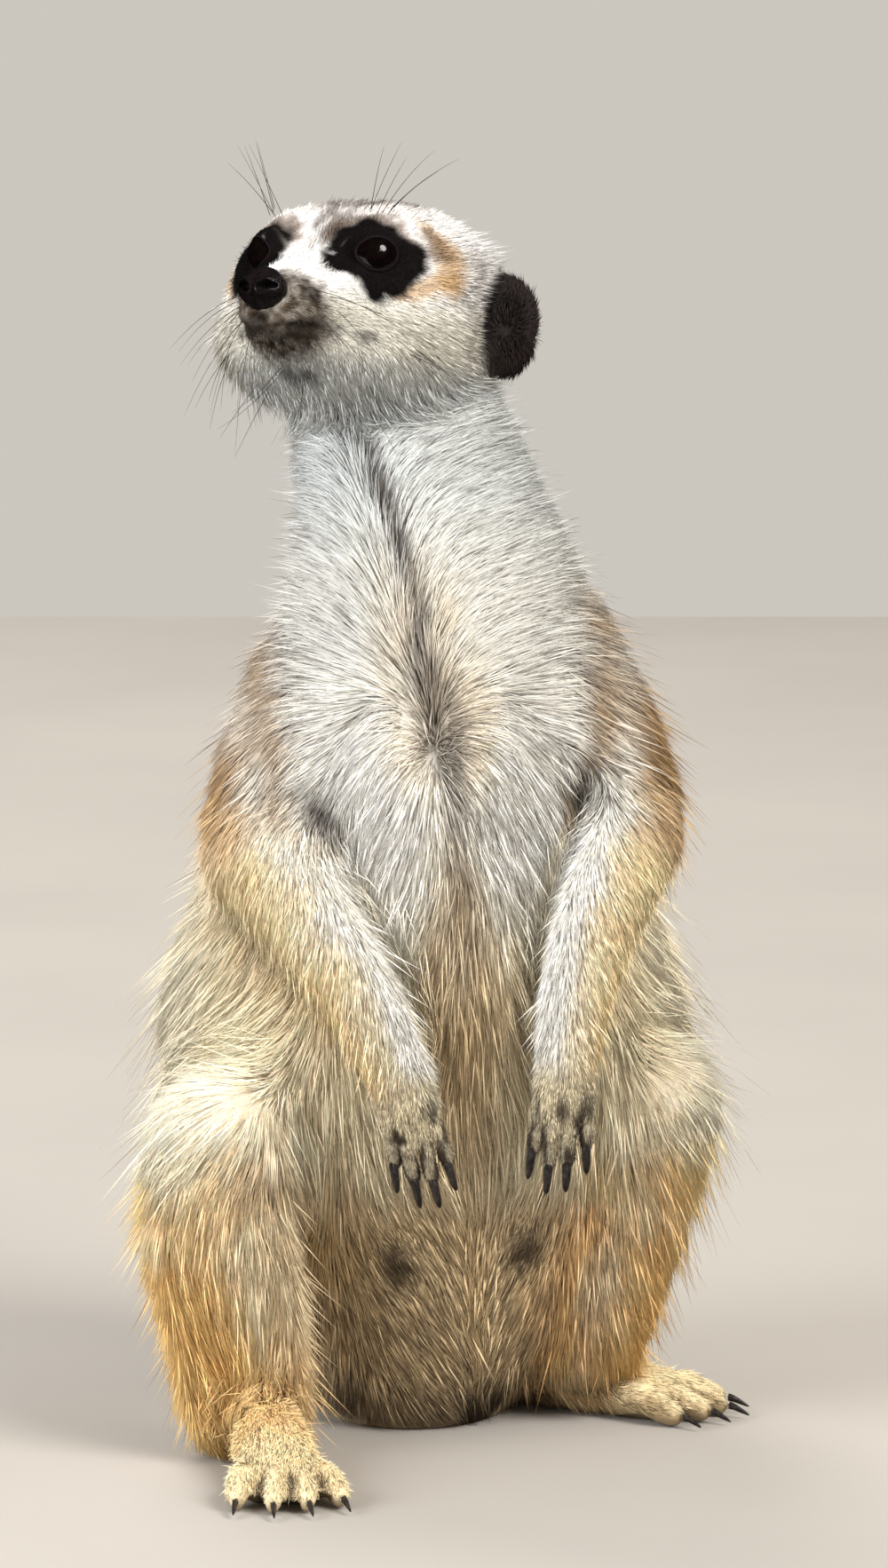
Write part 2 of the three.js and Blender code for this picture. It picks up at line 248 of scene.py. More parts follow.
def settle(made: bpy.types.Object, material: Material, nodes: list[str]) -> None:
    """Dresses a finished piece and ties it to the frame.

    Args:
        made: The piece.
        material: Its material.
        nodes: The solids that it stands for.
    """
    made.data.materials.append(material)
    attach(made, BODY)
    if nodes:
        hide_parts(*nodes)
    LOG.info("%s: %d faces", made.name, len(made.data.polygons))


@dataclass
class Surface:
    """A triangle mesh as arrays, with what its neighbours know of each other."""

    points: Array
    faces: Array

    def __post_init__(self) -> None:
        """Lists the edges once."""
        pairs = np.vstack([self.faces[:, pair] for pair in ([0, 1], [1, 2], [2, 0])])
        self.edges = np.unique(np.sort(pairs, axis=1), axis=0)
        self.degree = np.bincount(self.edges.ravel(), minlength=len(self.points)).astype(float)

    def normals(self) -> Array:
        """Outward normals at the points."""
        a, b, c = (self.points[self.faces[:, i]] for i in range(3))
        across = np.cross(b - a, c - a)
        total = [
            sum(np.bincount(self.faces[:, i], across[:, k], len(self.points)) for i in range(3))
            for k in range(3)
        ]
        return unit(np.column_stack(total))

    def move(self, ways: Array, distances: Array) -> None:
        """Moves each point some way."""
        self.points = self.points + ways * distances[:, None]

    def spread(self, values: Array, times: int, share: Array | float = 0.5) -> Array:
        """Evens values out along the surface.

        Args:
            values: One row for each point.
            times: How often each point moves towards its neighbours' mean.
            share: How far it moves each time, for all points or for each.

        Returns:
            The smoothed values.
        """
        rows = values.reshape(len(values), -1).copy()
        share = np.broadcast_to(share, len(rows))[:, None]
        first, second = self.edges.T
        for _ in range(times):
            sums = np.column_stack([
                np.bincount(first, row[second], len(rows)) + np.bincount(second, row[first], len(rows))
                for row in rows.T
            ])
            rows += share * (sums / np.maximum(self.degree, 1)[:, None] - rows)
        return rows.reshape(values.shape)


# ---- the head's own frame
EYE = np.array([16.0, 13.8, 5.0])
FAR_EYE_ASIDE = -12.4
NOSE_RADII = np.array([4.4, 5.6, 4.9])


def mirrored(local: Array) -> Array:
    """Places on the head with its right half laid over its left one."""
    return np.column_stack([local[:, 0], np.abs(local[:, 1]), local[:, 2]])


@dataclass
class HeadFrame:
    """Places on the head: +x to the nose, +y to the animal's left and +z up, from the skull's middle."""

    nose_ahead: float = 23.4
    nose_below: float = 10.8

    def __post_init__(self) -> None:
        """Works the frame out from where the eyes and the nose are."""
        left, right, nose = (self.middle(name) for name in ("eye_left", "eye_right", "nose"))
        between = (left + right) / 2
        y = unit(left - right)
        to_nose = nose - between
        to_nose = unit(to_nose - y * (to_nose @ y))
        above = np.cross(to_nose, y)
        slope = math.atan2(self.nose_below, self.nose_ahead)
        x = to_nose * math.cos(slope) + above * math.sin(slope)
        self.axes = np.array([x, y, np.cross(x, y)])
        self.origin = between - EYE[0] * self.axes[0] - EYE[2] * self.axes[2]
        self.nose = nose

    @staticmethod
    def middle(node: str) -> Array:
        """The middle of a solid's box."""
        low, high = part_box(node)
        return np.array((low + high) / 2) / MM

    def local(self, points: Array) -> Array:
        """Carries places into the head's frame."""
        return (points - self.origin) @ self.axes.T

    def world(self, points: Array) -> Array:
        """Carries places out of the head's frame."""
        return np.asarray(points, float) @ self.axes + self.origin

    def turned(self, vectors: Array) -> Array:
        """Turns directions out of the head's frame."""
        return np.asarray(vectors, float) @ self.axes


# ---- parts of the coat
class Part(Enum):
    """Stretches of the body whose hair differs."""

    HEAD = 0
    EAR = 1
    NECK = 2
    CHEST = 3
    BELLY = 4
    RUMP = 5
    SHOULDER = 6
    FOREARM = 7
    HAND = 8
    THIGH = 9
    SHIN = 10
    FOOT = 11
    TAIL = 12


PART_OF_NODE = {
    "head": Part.HEAD, "lower_jaw": Part.HEAD, "neck": Part.NECK, "chest": Part.CHEST, "belly": Part.BELLY,
    "rump": Part.RUMP, "tail_root": Part.TAIL, "tail_middle": Part.TAIL, "tail_tip": Part.TAIL,
    **{
        f"{stem}_{side}": part
        for side in SIDES
        for stem, part in {
            "ear": Part.EAR, "upper_arm": Part.SHOULDER, "forearm": Part.FOREARM, "forepaw": Part.HAND,
            "thigh": Part.THIGH, "shin": Part.SHIN, "hindfoot": Part.FOOT,
        }.items()
    },
}
UNDER_SKIN = ("eye_left", "eye_right", "nose")
LIMBS = (Part.SHOULDER, Part.FOREARM, Part.HAND, Part.THIGH, Part.SHIN, Part.FOOT)


@dataclass(frozen=True)
class Hair:
    """How the hair of one part grows, in millimetres, degrees and hairs for each square millimetre.

    Depth is how far the skin lies inside the solids, clump how far tips draw together, and ticks the share
    of dark hairs.
    """

    length: float
    width: float
    lift: float
    depth: float
    count: float
    clump: float
    ticks: float


HAIR = {
    Part.HEAD: Hair(4.6, 0.19, 12, 1.2, 8.4, 0.10, 0.05),
    Part.EAR: Hair(3.2, 0.18, 28, 0.3, 7.0, 0.10, 0.05),
    Part.NECK: Hair(8.5, 0.22, 18, 2.4, 5.4, 0.16, 0.09),
    Part.CHEST: Hair(10, 0.22, 15, 2.8, 5.6, 0.16, 0.13),
    Part.BELLY: Hair(15, 0.23, 9, 3.0, 4.4, 0.22, 0.12),
    Part.RUMP: Hair(13, 0.30, 13, 3.2, 2.4, 0.30, 0.26),
    Part.SHOULDER: Hair(10, 0.24, 17, 2.4, 4.4, 0.22, 0.24),
    Part.FOREARM: Hair(6.5, 0.21, 14, 1.3, 6.2, 0.14, 0.07),
    Part.HAND: Hair(2.4, 0.18, 13, 0.4, 8.0, 0.12, 0.20),
    Part.THIGH: Hair(14, 0.25, 15, 3.8, 4.2, 0.30, 0.08),
    Part.SHIN: Hair(12, 0.24, 15, 2.6, 4.6, 0.28, 0.08),
    Part.FOOT: Hair(4.2, 0.21, 9, 0.6, 7.0, 0.12, 0.16),
    Part.TAIL: Hair(8.0, 0.34, 14, 1.6, 2.3, 0.25, 0.26),
}


OFF_DIGITS = -99.0
CLAW_BASE = 0.7


def claw_ends(points: Array, palm: Array) -> Pair:
    """The middle of a claw's base and its tip, told by how far its points are from the palm."""
    reach = lengths(points - palm)
    return points[reach < reach.min() + CLAW_BASE].mean(axis=0), points[reach.argmax()]


@dataclass
class Flesh:
    """Which node of flesh, and so which part of the coat, each place on the animal belongs to."""

    grow: float = 0.45
    finger_length: float = 9.5
    finger_radii: tuple = (1.6, 1.75, 1.5, 1.45, 1.5, 1.15)
    finger_room: float = 3.4
    finger_rings: int = 26
    finger_sides: int = 16
    toe_reach: float = 19.0
    heel_from: float = 22.0
    heel_height: float = 15.5
    toe_parting: float = 0.75

    def __post_init__(self) -> None:
        """Gathers all nodes of flesh, each a little fatter so that they run into each other."""
        self.names = sorted([*PART_OF_NODE, *UNDER_SKIN])
        self.fingers = {side: self.fingers_of(side) for side in SIDES}
        points, faces, owners, start, in_block = [], [], [], 0, []
        for index, name in enumerate(self.names):
            solid = solid_of(name)
            bmesh.ops.triangulate(solid, faces=solid.faces)
            solid.normal_update()
            shapes = [(
                np.array([v.co / MM + v.normal * self.grow for v in solid.verts]),
                np.array([[v.index for v in f.verts] for f in solid.faces]),
            )]
            solid.free()
            if name.startswith("forepaw"):
                fingers = self.fingers[name.removeprefix("forepaw_")]
                shapes[0] = (self.palm_alone(shapes[0][0], fingers), shapes[0][1])
                shapes += [self.finger_shape(finger) for finger in fingers]
            fresh, triangles = joined(shapes)
            points.append(fresh)
            faces.append(triangles + start)
            owners.append(np.full(len(triangles), index))
            in_block.append(np.arange(len(triangles)) < len(shapes[0][1]))
            start += len(fresh)
        self.points = np.vstack(points)
        self.faces = np.vstack(faces)
        self.block_faces = self.faces[np.concatenate(in_block)]
        self.owners = np.concatenate(owners)
        self.tree = BVHTree.FromPolygons(self.points.tolist(), self.faces.tolist())

    def finger_shape(self, bends: Array) -> Shape:
        """One finger as a closed tube."""
        share = np.linspace(0, 1, self.finger_rings)
        path = np.column_stack([np.interp(share * 3, np.arange(4), column) for column in bends.T])
        for _ in range(8):
            path[1:-1] = (path[:-2] + 2 * path[1:-1] + path[2:]) / 4
        radii = np.interp(share, np.linspace(0, 1, len(self.finger_radii)), self.finger_radii)
        return tube(path, radii, self.finger_sides)

    def finger_reach(self, points: Array) -> Array:
        """How far each place lies beyond the knuckle of the finger that it is on, below 0 off the fingers."""
        reach = np.full(len(points), OFF_DIGITS)
        for bends in self.fingers["left"] + self.fingers["right"]:
            knuckle, end = bends[1], bends[3]
            along = (points - knuckle) @ unit(end - knuckle)
            span = [0, np.linalg.norm(end - knuckle)]
            middle = np.column_stack([np.interp(along, span, pair) for pair in zip(knuckle, end)])
            near = lengths(points - middle) < self.finger_room
            reach = np.where(near, np.maximum(reach, along), reach)
        return reach

    def grooves(self, points: Array) -> Pair:
        """Where the toes of the hind feet part.

        Args:
            points: Places on the skin.

        Returns:
            1 in the middle of each parting, and how far each place is past the toes' roots.
        """
        groove, reach = np.zeros(len(points)), np.full(len(points), OFF_DIGITS)
        for side in SIDES:
            ends = np.array([HeadFrame.middle(f"hindfoot_{side}_claw_{digit}") for digit in DIGITS])
            ahead = unit(ends.mean(axis=0) - HeadFrame.middle(f"hindfoot_{side}"))
            across = ends[3] - ends[0]
            across = unit(across - ahead * (across @ ahead))
            away = points - ends.mean(axis=0)
            along, aside = away @ ahead, away @ across
            spots = (ends - ends.mean(axis=0)) @ across
            fan_out = 1 + np.clip(along, -self.toe_reach, 0) / self.toe_reach * 0.3
            near = lengths(away) < self.toe_reach * 1.4
            partings = (spots[:-1] + spots[1:]) / 2
            lines = sum(np.exp(-(((aside - spot * fan_out) / self.toe_parting) ** 2)) for spot in partings)
            groove += lines * near * step(-self.toe_reach, -self.toe_reach * 0.6, along)
            reach = np.where(near, along + self.toe_reach * 0.75, reach)
        return groove, reach

    def fingers_of(self, side: str) -> list[Array]:
        """Bends of each finger of a forepaw, from inside the palm to inside the claw.

        Args:
            side: Which forepaw.

        Returns:
            Four rows of places for each finger.
        """
        palm = HeadFrame.middle(f"forepaw_{side}")
        found = []
        for digit in DIGITS:
            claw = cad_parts[f"forepaw_{side}_claw_{digit}"].data
            base, tip = claw_ends(np.array([corner.co / MM for corner in claw.vertices]), palm)
            ahead = tip - base
            above = np.array([0.0, -1.0, 0.06])
            ahead = unit(ahead - above * (ahead @ above) / (above @ above))
            length = self.finger_length
            found.append(np.array([
                base - ahead * (length + 4.0) + above * 1.6, base - ahead * length + above * 2.4,
                base - ahead * length * 0.55 + above * 1.5, base - ahead * 2.6 + above * 0.5,
            ]))
        return found

    @staticmethod
    def palm_alone(points: Array, fingers: list[Array]) -> Array:
        """Draws the digits of a forepaw's solid back into its palm, to make room for free fingers."""
        knuckles = np.array([finger[1] for finger in fingers])
        ahead = unit(np.mean([finger[3] - finger[1] for finger in fingers], axis=0))
        away = points - knuckles[:, None]
        aside = away - (away @ ahead)[..., None] * ahead
        nearest = np.linalg.norm(aside, axis=2).argmin(axis=0)
        over = np.clip((points - knuckles[nearest]) @ ahead, 0, None)
        return points - ahead * over[:, None] * 0.97

    def nodes_at(self, points: Array) -> Array:
        """The number of the node nearest to each place."""
        found = [self.tree.find_nearest(point)[2] for point in points.tolist()]
        return self.owners[np.array(found)]

    def parts_at(self, points: Array, nodes: Array) -> Array:
        """Which part each place belongs to; the left foot's heel is under the shin.

        Args:
            points: Places on the skin.
            nodes: The number of the node nearest to each.

        Returns:
            One row for each place with a 1 in the column of its part.
        """
        columns = np.array([PART_OF_NODE.get(name, Part.HEAD).value for name in self.names])[nodes]
        x, y, z = points.T
        leg = (columns == Part.SHIN.value) | (columns == Part.THIGH.value)
        heel = leg & (x > self.heel_from) & (z < self.heel_height) & (y < 0)
        return np.eye(len(Part))[np.where(heel, Part.FOOT.value, columns)]


# ---- landmarks, in the whole animal's frame
WHORL = np.array([0.8, -33.0, 156.0])
MIDLINE = [
    (-27.0, 237.0, 1.2), (-24.0, 232.0, 0.6), (-19.6, 227.0, 0.4), (-15.8, 217.0, 0.4), (-11.6, 206.0, 0.4),
    (-8.0, 195.0, 0.4), (-3.8, 179.0, 0.6), (-0.8, 166.0, 1.2), (1.2, 156.0, 1.5), (3.0, 148.0, 0.6),
    (5.8, 127.0, 2.0), (6.8, 77.0, 5.0), (9.8, 15.0, 4.0),
]
ARMPITS = {"left": (30.8, -25.0, 147.0), "right": (-23.8, -30.8, 144.0)}
KNEES = {"left": (44.0, -27.0, 88.0), "right": (-30.0, -38.0, 84.0)}
CREASES = {
    "left": [
        (17.0, -30.5, 167.0, 0.3), (19.4, -28.9, 164.9, 0.5), (23.7, -27.6, 157.9, 0.8),
        (27.6, -26.4, 151.4, 1.1), (31.0, -25.0, 146.0, 1.6), (30.2, -27.0, 138.1, 1.0),
        (25.7, -31.5, 127.0, 0.9), (23.3, -34.5, 113.7, 0.9), (22.4, -36.5, 100.2, 0.7),
        (21.4, -38.0, 88.0, 0.5),
    ],
    "right": [
        (-12.5, -31.5, 163.5, 0.3), (-16.8, -30.7, 160.2, 0.5), (-20.7, -30.2, 154.3, 0.8),
        (-23.6, -30.1, 147.4, 1.2), (-23.8, -31.0, 142.8, 1.6), (-20.3, -33.0, 139.0, 1.0),
        (-15.4, -36.5, 127.8, 0.9), (-9.6, -39.3, 114.5, 0.9), (-3.8, -41.5, 101.0, 0.7),
        (0.5, -43.5, 92.0, 0.5),
    ],
}
TEATS = ((-9.7, -31.5, 42.1), (21.0, -28.3, 44.5))


def near_whorl(points: Array) -> Array:
    """1 in the very middle of the chest's whorl, where the hair stands in all directions."""
    return step(4.5, 1.0, lengths((points - WHORL) * [1, 0.4, 1]))


def in_armpits(points: Array) -> Array:
    """1 in the middle of either armpit."""
    return np.clip(sum(blob(points, ARMPITS[side], (3.6, 9, 6.5), 0.7) for side in SIDES), 0, 1)


def near_creases(points: Array) -> Array:
    """How far each place is from the lines where the arms leave the breast."""
    return np.minimum(*(chain(points, line) for line in CREASES.values()))


def midline_at(heights: Array) -> Array:
    """How far to the side the parting of the belly and the throat lies at each height."""
    rows = np.array(MIDLINE[::-1])
    return np.interp(heights, rows[:, 1], rows[:, 0])


@dataclass
class Places:
    """Places on the skin with all that markings and hair need to know of them."""

    points: Array
    normals: Array
    parts: Array
    head: Array

    def part(self, *wanted: Part) -> Array:
        """How much each place belongs to the parts named."""
        return self.parts[:, [part.value for part in wanted]].sum(axis=1)

    def side(self) -> Array:
        """-1 to the image's left of the parting and 1 to its right."""
        return np.sign(self.points[:, 0] - midline_at(self.points[:, 2]) + 1e-6)

    def round_body(self) -> Array:
        """Degrees round the trunk from the parting at the front, 0, to the spine, 180."""
        x, y, z = self.points.T
        across = np.abs(x - midline_at(z) * step(15, -25, y))
        return np.degrees(np.arctan2(across, 2 - y))


# ---- markings and painted shade
LIPS = [(39, 0, -13, 2.3), (34, 6.5, -13.6, 1.8), (27, 12, -13.4, 1.1), (20.7, 16.7, -13.6, 0.4)]
EYE_PATCH = (
    [(22.9, 8.0, 3.2, 3.3), (17.0, 14.0, 5, 7.6), (13.6, 20.8, 4.4, 4.2)],
    [(18, 15.5, 1, 5.6), (20, 17.0, -3.4, 2.9)],
    [(14.0, 21.3, 3.0, 3.9), (17.8, 18.6, -0.8, 4.3)],
    [(20.5, 8.8, 5.6, 3.2), (16.5, 9.6, 8.8, 4.0)],
)
BROW_PATCH = [(21.0, 6.4, 6.4, 2.9), (16.2, 5.4, 10.6, 3.7), (13.6, 9.4, 11.6, 3.4), (13.8, 14, 9.4, 3.6)]


@dataclass(frozen=True)
class CoatColours:
    """The colours of the hair, by where they are found, with the dark ones of painted shade."""

    white: Array = screen(252, 250, 248)
    brow: Array = screen(240, 236, 232)
    cheek: Array = screen(226, 223, 212)
    crown: Array = screen(108, 97, 91)
    throat: Array = screen(204, 207, 206)
    chest: Array = screen(217, 216, 210)
    breast: Array = screen(250, 247, 238)
    parting_and_crease_shade: Array = screen(84, 71, 63)
    eye_patch: Array = screen(15, 11, 11)
    tan: Array = screen(200, 166, 120)
    russet: Array = screen(100, 76, 56)
    muzzle: Array = screen(84, 70, 57)
    lip: Array = screen(34, 27, 22)
    ear: Array = screen(42, 34, 32)
    ear_hollow_shade: Array = screen(13, 10, 10)
    belly: Array = screen(248, 232, 200)
    olive: Array = screen(208, 178, 128)
    shoulder: Array = screen(174, 142, 100)
    forearm: Array = screen(248, 245, 236)
    gold: Array = screen(254, 219, 164)
    amber: Array = screen(254, 203, 136)
    cream: Array = screen(254, 234, 202)
    pale: Array = screen(254, 240, 216)
    groin: Array = screen(212, 187, 146)
    # dark colour for painted shade near the floor and in the rump's gaps, and for the teats' own darker skin
    shade_and_teats: Array = screen(112, 94, 76)
    hand: Array = screen(226, 214, 184)
    digit: Array = screen(70, 60, 52)
    foot: Array = screen(250, 231, 190)
    back: Array = screen(172, 150, 118)
    band: Array = screen(84, 66, 52)
    tail: Array = screen(196, 164, 116)
    tail_tip: Array = screen(36, 29, 26)


@dataclass
class Markings:
    """The pattern of the animal with some painted shade and highlights, the same for its skin and for its
    hair.
    """

    flesh: Flesh
    colours: CoatColours = field(default_factory=CoatColours)
    band_spacing: float = 15.0
    band_slant: float = 0.35
    crest_strengths: tuple = (
        (90, 0.1), (140, 0.25), (150, 0.45), (158, 0.55), (170, 0.5), (185, 0.6), (195, 0.85), (240, 0.95),
    )

    def at(self, places: Places) -> Array:
        """The colour of the coat at each place.

        Args:
            places: Places on the skin.

        Returns:
            Linear red, green and blue, one row for each place.
        """
        # painted shade: the creases where the arms leave the breast, and the armpits, take the dark parting
        # colour
        creases = near_creases(places.points)
        depth = np.interp(places.points[:, 2], [95, 125, 140, 170], [0.0, 0.3, 0.85, 0.6])
        fold = np.maximum(step(1.4, -0.4, creases) * depth, in_armpits(places.points) * 0.9)
        return layered(
            self.trunk(places),
            (self.limbs(places), places.part(*LIMBS)),
            (self.colours.parting_and_crease_shade, fold),
            (self.face(places), places.part(Part.HEAD, Part.EAR)),
        )

    def parted_and_shaded(self, places: Places) -> Array:
        """How much the roots show in the partings of the coat, with painted shade in the creases and armpits.

        Args:
            places: Places on the skin.

        Returns:
            0 to 1 for each place.
        """
        z = places.points[:, 2]
        creases = near_creases(places.points)
        # painted shade along the creases where the arms leave the breast and in the armpits; the midline and
        # the whorl are partings of the coat
        dark = step(3.0, -0.2, creases) * np.interp(z, [85, 100, 120, 145], [0.3, 0.6, 0.9, 1.0])
        line = chain(places.points[:, [0, 2]], MIDLINE)
        strength = np.interp(z, [90, 140, 150, 158, 170, 185, 240], [0.0, 0.3, 0.6, 0.8, 0.7, 0.75, 0.9])
        crest = step(1.6, -0.4, line) * step(70, 40, places.round_body()) * strength
        off_head = 1 - places.part(Part.HEAD, Part.EAR)
        whorl_parting_and_armpit_shade = np.maximum(near_whorl(places.points) * 0.7, in_armpits(places.points) * 0.95)
        return np.maximum(np.maximum(dark, crest), whorl_parting_and_armpit_shade) * off_head

    def trunk(self, places: Places) -> Array:
        """Neck, chest, belly, back and tail.

        Args:
            places: Places on the skin.

        Returns:
            Colours, one row for each place.
        """
        c = self.colours
        x, y, z = places.points.T
        turn = places.round_body()
        patch = noise(places.points, 14, 3)
        strand = noise(places.points * [1, 1, 0.16], 2.6, 17)
        middle = np.abs(x - midline_at(z))
        gold = step(45, 95, turn + patch * 16) * step(152, 128, z)
        olive = step(15, 3, middle + patch * 3 + strand * 4 + np.clip(z - 95, 0, 60) * 0.14)
        olive = olive * step(158, 128, z) * step(85, 50, turn) * (0.7 + 0.3 * strand) * step(40, 115, z)
        low = step(74, 50, z) * step(80, 55, turn)
        colour = layered(
            c.belly,
            (c.breast, step(100, 140, z)),
            (c.chest, step(158, 176, z)),
            (c.throat, step(185, 215, z)),
            (c.cream, step(26, 50, turn) * step(140, 118, z)),
            (c.gold, gold * 0.75),
            (c.olive, olive),
            (c.groin, low * (0.85 - 0.5 * step(9, 3, middle))),
            (c.gold, low * step(9, 2, middle) * 0.55),
            # painted shade: the front of the trunk darkens towards the floor
            (c.shade_and_teats, step(20, 4, z) * step(85, 60, turn) * 0.7),
            # the teats' own darker skin, from the same dark colour
            *((c.shade_and_teats * 0.3, blob(places.points, teat, (4.0, 10, 5.4), 0.8) * 0.9) for teat in TEATS),
        )
        flank = step(50, 75, turn) * step(110, 85, turn) * step(60, 80, z) * step(145, 125, z)
        # painted shadow in the gaps beside the bottom of the rump, near the floor
        gap_shadow = step(20, 7, z) * step(9, 13, np.abs(x + 7)) * step(90, 60, turn)
        edge = np.interp(z, [145, 175], [116, 98])
        back = step(edge, edge + 26, turn + patch * 10)
        tail = mix(c.tail, c.tail_tip, step(172, 204, y + patch * 5))
        line = chain(places.points[:, [0, 2]], MIDLINE)
        ahead = step(70, 40, turn)
        soft = step(9, 1, line) * ahead * step(146, 156, z) * step(200, 176, z)
        crest = step(0.9, -0.5, line + strand * 0.5) * ahead
        heights, strengths = zip(*self.crest_strengths)
        return layered(
            colour,
            (c.pale, flank * 0.85),
            (c.shade_and_teats * 0.1, gap_shadow * 0.9),
            (c.back, back),
            (c.shoulder, back * step(150, 190, z) * 0.6),
            (c.band, self.bands(places.points, turn) * 0.72 * (1 - places.part(Part.TAIL))),
            (tail, places.part(Part.TAIL)),
            (c.olive, soft * (0.3 + 0.25 * strand)),
            (c.parting_and_crease_shade, crest * np.interp(z, heights, strengths)),
        )

    def bands(self, points: Array, turn: Array) -> Array:
        """The dark bands across the back.

        Args:
            points: Places on the skin.
            turn: Degrees round the trunk from the front.

        Returns:
            1 in the middle of a band.
        """
        z = points[:, 2]
        sway = noise(points, 30, 5) * 4
        wave = np.sin((z + sway + self.band_slant * (180 - turn) * 0.3) * 2 * np.pi / self.band_spacing)
        return step(0.1, 0.85, wave) * step(105, 140, turn) * step(28, 48, z) * step(182, 150, z)

    def limbs(self, places: Places) -> Array:
        """Arms, hands, legs and feet.

        Args:
            places: Places on the skin.

        Returns:
            Colours, one row for each place.
        """
        c = self.colours
        x, y, z = places.points.T
        nx, ny, nz = places.normals.T
        outward = nx * np.sign(x - 2)
        patch = noise(places.points, 11, 8)
        fine = noise(places.points, 2.0, 9)
        streak = noise(places.points * [1, 1, 0.22], 1.5, 19)
        arm = layered(
            c.chest,
            (c.shoulder, step(-0.2, 0.45, outward + patch * 0.35) * step(128, 142, z)),
            (c.gold, step(148, 128, z) * step(0.0, 0.7, outward + patch * 0.3) * 0.6),
            (c.back, step(0.25, 0.8, ny)),
        )
        fore = layered(
            c.forearm,
            (c.cream, step(-0.35, 0.15, outward + patch * 0.2) * 0.9),
            (c.gold, step(0.05, 0.7, outward + patch * 0.3) * 0.6),
            (c.amber, step(0.5, 0.95, outward + patch * 0.3) * step(120, 95, z) * 0.4),
            (c.gold, step(0.1, 0.7, ny) * 0.6),
            (c.hand, step(92, 82, z) * 0.7),
        )
        on_finger = step(-4.0, 3.0, self.flesh.finger_reach(places.points) + fine * 2.5)
        hand = layered(
            c.hand,
            (c.digit, step(-0.1, 0.35, streak) * step(88, 80, z) * 0.85),
            (c.digit, on_finger * (0.55 + 0.4 * step(-0.3, 0.3, streak))),
        )
        knee_highlight = sum(blob(places.points, KNEES[side], (11, 16, 11), 0.8) for side in SIDES)
        inner = step(0.15, -0.5, outward) * step(0.75, 0.2, nz) * step(84, 66, z)
        thigh = layered(
            c.gold,
            (c.pale, step(-0.3, 0.5, nz + patch * 0.4)),
            # painted highlight on the front of each knee
            (c.pale, np.clip(knee_highlight, 0, 1) * 0.8),
            (c.groin, inner * 0.6),
            (c.back, step(0.3, 0.8, ny) * 0.6),
        )
        shin = layered(
            c.cream,
            (c.amber, step(-0.5, 0.5, outward + patch * 0.6)),
            (c.amber, step(46, 16, z) * 0.75),
            (c.groin, step(-0.3, -0.85, outward) * 0.3),
        )
        ahead = np.where(x < 2, step(-60, -78, y), step(20, 30, x))
        foot = mix(c.gold, c.foot, ahead)
        # painted shade on the left hind foot away from its top, with a browner tone of its own
        foot = mix(foot, foot * [0.56, 0.52, 0.46], step(-2, 6, x) * step(0.9, 0.1, nz + fine * 0.3))
        foot = layered(
            mix(foot, foot * [0.6, 0.54, 0.46], step(-0.1, 0.4, streak + fine * 0.3) * 0.3),
            # painted shadow where the feet meet the floor
            (c.shade_and_teats, step(3.6, 1.4, z) * 0.6),
            (c.digit, np.clip(self.flesh.grooves(places.points)[0], 0, 1) * 0.8),
        )
        rows = zip(LIMBS, (arm, fore, hand, thigh, shin, foot))
        total = sum(places.part(part)[:, None] * colour for part, colour in rows)
        return total / np.maximum(places.part(*LIMBS), 1e-6)[:, None]

    def face(self, places: Places) -> Array:
        """The head with its patches, muzzle and ears.

        Args:
            places: Places on the skin.

        Returns:
            Colours, one row for each place.
        """
        c = self.colours
        half = mirrored(places.head)
        x, y, z = half.T
        fine = noise(places.points, 2.2, 21)
        speckle = noise(places.points, 1.1, 23)
        top = 12.0 + 0.55 * np.clip(x, -22, 0)
        crown = step(11, 5, x) * step(top, top + 4.5, z) * step(17, 10, y)
        stripe = blob(places.head * [1, 0, 1], (14, 0, 12), (9, 5, 6), 0.5) * step(6.5, 2, y)
        behind = chain(half, [(7, 20, 12.5, 1.4), (6.0, 26, 6.8, 3.4), (6.5, 28, 0.5, 3.4)])
        temple = chain(half, [(7.5, 20.5, 11, 1.6), (7.5, 25.2, 6.5, 2.4)])
        under = chain(half, [(17, 20.8, -3.6, 1.8), (12, 25.6, -1.0, 2.2), (8, 28, 1, 2.0)])
        muzzle = step(25, 31, x + fine * 1.5 - np.clip(z + 8, 0, 8) * 0.6) * step(4, -3, z)
        pad = blob(half, (33, 8.4, -5.6), (2.4, 2.6, 2.2), 0.6)
        lips = chain(half, LIPS)
        chin = blob(half, (31, 0, -19), (8, 9, 5), 0.5)
        colour = layered(
            c.throat,
            (c.cheek, step(-22, -14, z)),
            (c.white, step(-9, -1, z)),
            (c.crown, np.clip(crown * (0.8 + 0.5 * speckle) + stripe * (0.5 + 0.5 * fine), 0, 0.95)),
            (c.brow, blob(half, (6, 14, 15), (6.5, 7, 3.5), 0.5) * 0.9),
            (c.tan, step(2.0, -2.0, behind + fine) * 0.85),
            (c.russet, step(1.8, -1.4, temple + speckle * 1.4) * 0.7),
            (c.tan, step(1.6, -1.4, under + fine) * 0.75),
            (c.muzzle, np.clip(muzzle * (0.85 + 0.3 * speckle), 0, 0.97)),
            (c.lip, np.clip(muzzle * speckle * 0.5, 0, 0.4)),
            (c.lip, pad * 0.7),
            (c.lip, step(2.4, -1.4, lips + fine * 1.2 + speckle * 0.9) * 0.9),
            (c.lip, np.clip(chin * (0.5 + 0.5 * speckle), 0, 0.9)),
            (c.lip, blob(half, (21.7, 2, -22.6), (3.0, 2.8, 3), 0.6) * 0.7),
        )
        shift = (places.head[:, 1] < 0) * np.interp(z, [3, 10], [0.6, 6.2])
        eyed = half - np.outer(shift, [0, 1, 0])
